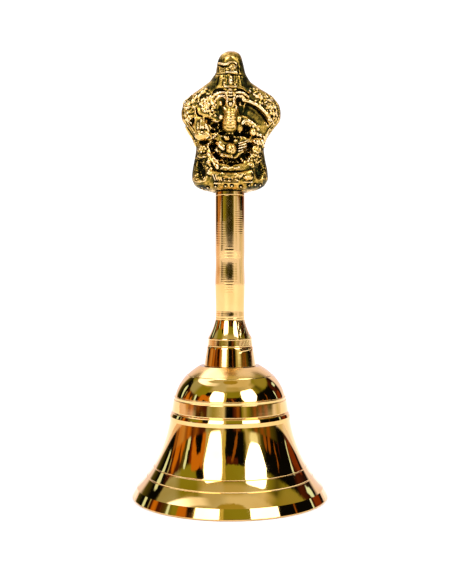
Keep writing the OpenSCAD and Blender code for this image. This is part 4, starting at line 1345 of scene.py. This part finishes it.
def shape_back(clay):
    """The back is plainer, as on cast finials: a cape of shallow folds, hair lines and a sash."""
    for i in range(9):
        x = -10 + 2.5 * i
        top, pull, foot = (x * 0.5, 32.2 - 0.12 * abs(x)), (x * 1.3, 25.0), (x * 0.8, 15.8)
        clay.groove([top] + bezier(top, pull, foot, 12), 0.4, 0.13, blend=0.5, back=True)
    clay.cord([(x, 14.4 + 0.02 * x * x) for x in np.arange(-10.0, 10.5, 1.3)], 0.7, 0.5, back=True)
    for z in (11.7, 9.3, 6.9):
        fold = [(x, z - 0.015 * x * x) for x in np.arange(-10.5, 11, 1.4)]
        clay.groove(fold, 0.4, 0.14, blend=0.5, back=True)
    for x in np.arange(-3.0, 3.6, 0.9):
        clay.groove([(x, 34.9), (x * 0.9, 38.9)], 0.24, 0.16, blend=0.2, back=True)
    clay.groove([(x, 39.45) for x in np.arange(-3.7, 4.0, 0.7)], 0.3, 0.25, blend=0.25, back=True)


# Each group of features in the order of work, and how far it sits below its drawn place
FIGURE_STEPS = (
    (hollow_out, 0.2), (shape_head, 0.35), (shape_trunk, 0.75), (shape_crown, 0.1), (shape_cap, 0.1),
    (shape_ears, 0.2), (shape_arms, 0.45), (shape_lap, 0.4), (shape_legs, 0.3), (shape_seat, 0.25),
    (chase_edges, 0.0), (dress_shoulders, 0.1), (shape_back, 0.0),
)


# Wear: its level on flat metal, and how much it grows with the fine and with the broad bulges
WEAR_LEVEL, FINE_WEAR, BROAD_WEAR = 0.49, 2.1, 0.7
# Each drilled ring is painted darker, as shade in the ring, and its centre painted brighter, as a
# highlight:
# half width and how much darker
RING_PAINTED_SHADE, CENTRE_PAINTED_HIGHLIGHT = (0.9, 0.5), (0.32, -1.1)
# How uneven the casting is in millimetres, the seed of it, and how much of the surface is smoothed
ROUGH_DEPTH, ROUGH_SEED, SMOOTHED = 0.12, 11, 0.2


def wear_and_painted_light(clay, points):
    """How worn the metal is at each point, from 0 in a dark hollow to 1 on a bright high spot, with
    painted shade and painted highlights added to it.
    """
    fine, broad = clay.sample(clay.blurred(2), points), clay.sample(clay.blurred(5), points)
    worn_and_painted_light = WEAR_LEVEL + fine * FINE_WEAR + broad * BROAD_WEAR
    dots = tuple((x, z - 0.25, half, half, darker) for half, darker in (RING_PAINTED_SHADE, CENTRE_PAINTED_HIGHLIGHT)
                 for x, z in RIM_DOTS)
    # The stain table and the drilled rings add painted shade and painted highlights to the wear here
    for x, z, rx, rz, darker in PATINA_AND_PAINTED_LIGHT + dots:
        size = ((points[:, 0] - x) / rx) ** 2 + ((points[:, 2] - z) / rz) ** 2
        worn_and_painted_light = worn_and_painted_light - darker * np.exp(-size * 1.4) * (points[:, 1] < 0)
    return np.clip(worn_and_painted_light, 0, 1).astype(np.float32)


def make_figure(looks):
    low, high = (corner / MM - Vector((0, 0, FOOT_Z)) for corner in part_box("finial_figure"))
    clay = Clay(low - CLAY_MARGIN, high + CLAY_MARGIN, CLAY_STEP)
    for step, drop in FIGURE_STEPS:
        clay.drop = drop
        step(clay)
    clay.field = np.maximum(clay.field, -clay.axes[2][None, None, :]).astype(np.float32)
    clay.roughen(ROUGH_DEPTH, ROUGH_SEED)
    clay.field = clay.field * (1 - SMOOTHED) + clay.blurred(1) * SMOOTHED
    points, quads, triangles = clay.mesh()
    points = np.clip(points, np.array(low), np.array(high))
    faces = quads.tolist() + triangles.tolist()
    places = (points + (0, 0, FOOT_Z)) * MM
    item = make_object("finial_figure_cast", places.tolist(), faces, (looks["cast"],))
    mesh = item.data
    mesh.polygons.foreach_set("use_smooth", np.ones(len(mesh.polygons), bool))
    attribute = mesh.attributes.new("wear_and_painted_light", "FLOAT", "POINT")
    attribute.data.foreach_set("value", wear_and_painted_light(clay, points))
    settle(item, "bell", "cast_brass", "finial_figure")


def finish_cad_nodes(looks):
    """The hidden fastenings and the clapper keep their CAD shape and take their own metals."""
    choice = {
        "finial_stud": "steel", "eye_bolt": "steel", "crown_washer": "steel", "crown_nut": "nut",
        "clapper_link": "steel", "clapper_shank": "clapper", "clapper_ball": "clapper",
    }
    for node, look in choice.items():
        for material_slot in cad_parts[node].material_slots:
            material_slot.link = "OBJECT"
            material_slot.material = looks[look]


# ---------------------------------------------------------------------------
# Putting it together
# ---------------------------------------------------------------------------

make_camera()
make_studio()
make_floor()
LOOKS = {
    "bell": turned_brass("bell_brass", (0.035, 0.075), 0.0010, dull_from=STEP_Z * MM),
    "bell_inside": turned_brass("bell_inside_brass", (0.16, 0.30), 0.0060,
                                (0.50, 0.33, 0.12), (0.72, 0.48, 0.19)),
    "neck": turned_brass("neck_brass", (0.05, 0.11), 0.0032),
    "shaft": turned_brass("shaft_brass", (0.05, 0.10), 0.0010, (0.86, 0.52, 0.17), (0.93, 0.60, 0.23)),
    "clapper": turned_brass("clapper_brass", (0.16, 0.28), 0.0030),
    "nut": turned_brass("nut_brass", (0.18, 0.32), 0.0020),
    "cast": cast_brass("cast_brass"),
    "steel": steel("bright_steel", (0.62, 0.60, 0.57), (0.2, 0.38)),
}
make_turned_pieces(LOOKS)
make_figure(LOOKS)
finish_cad_nodes(LOOKS)
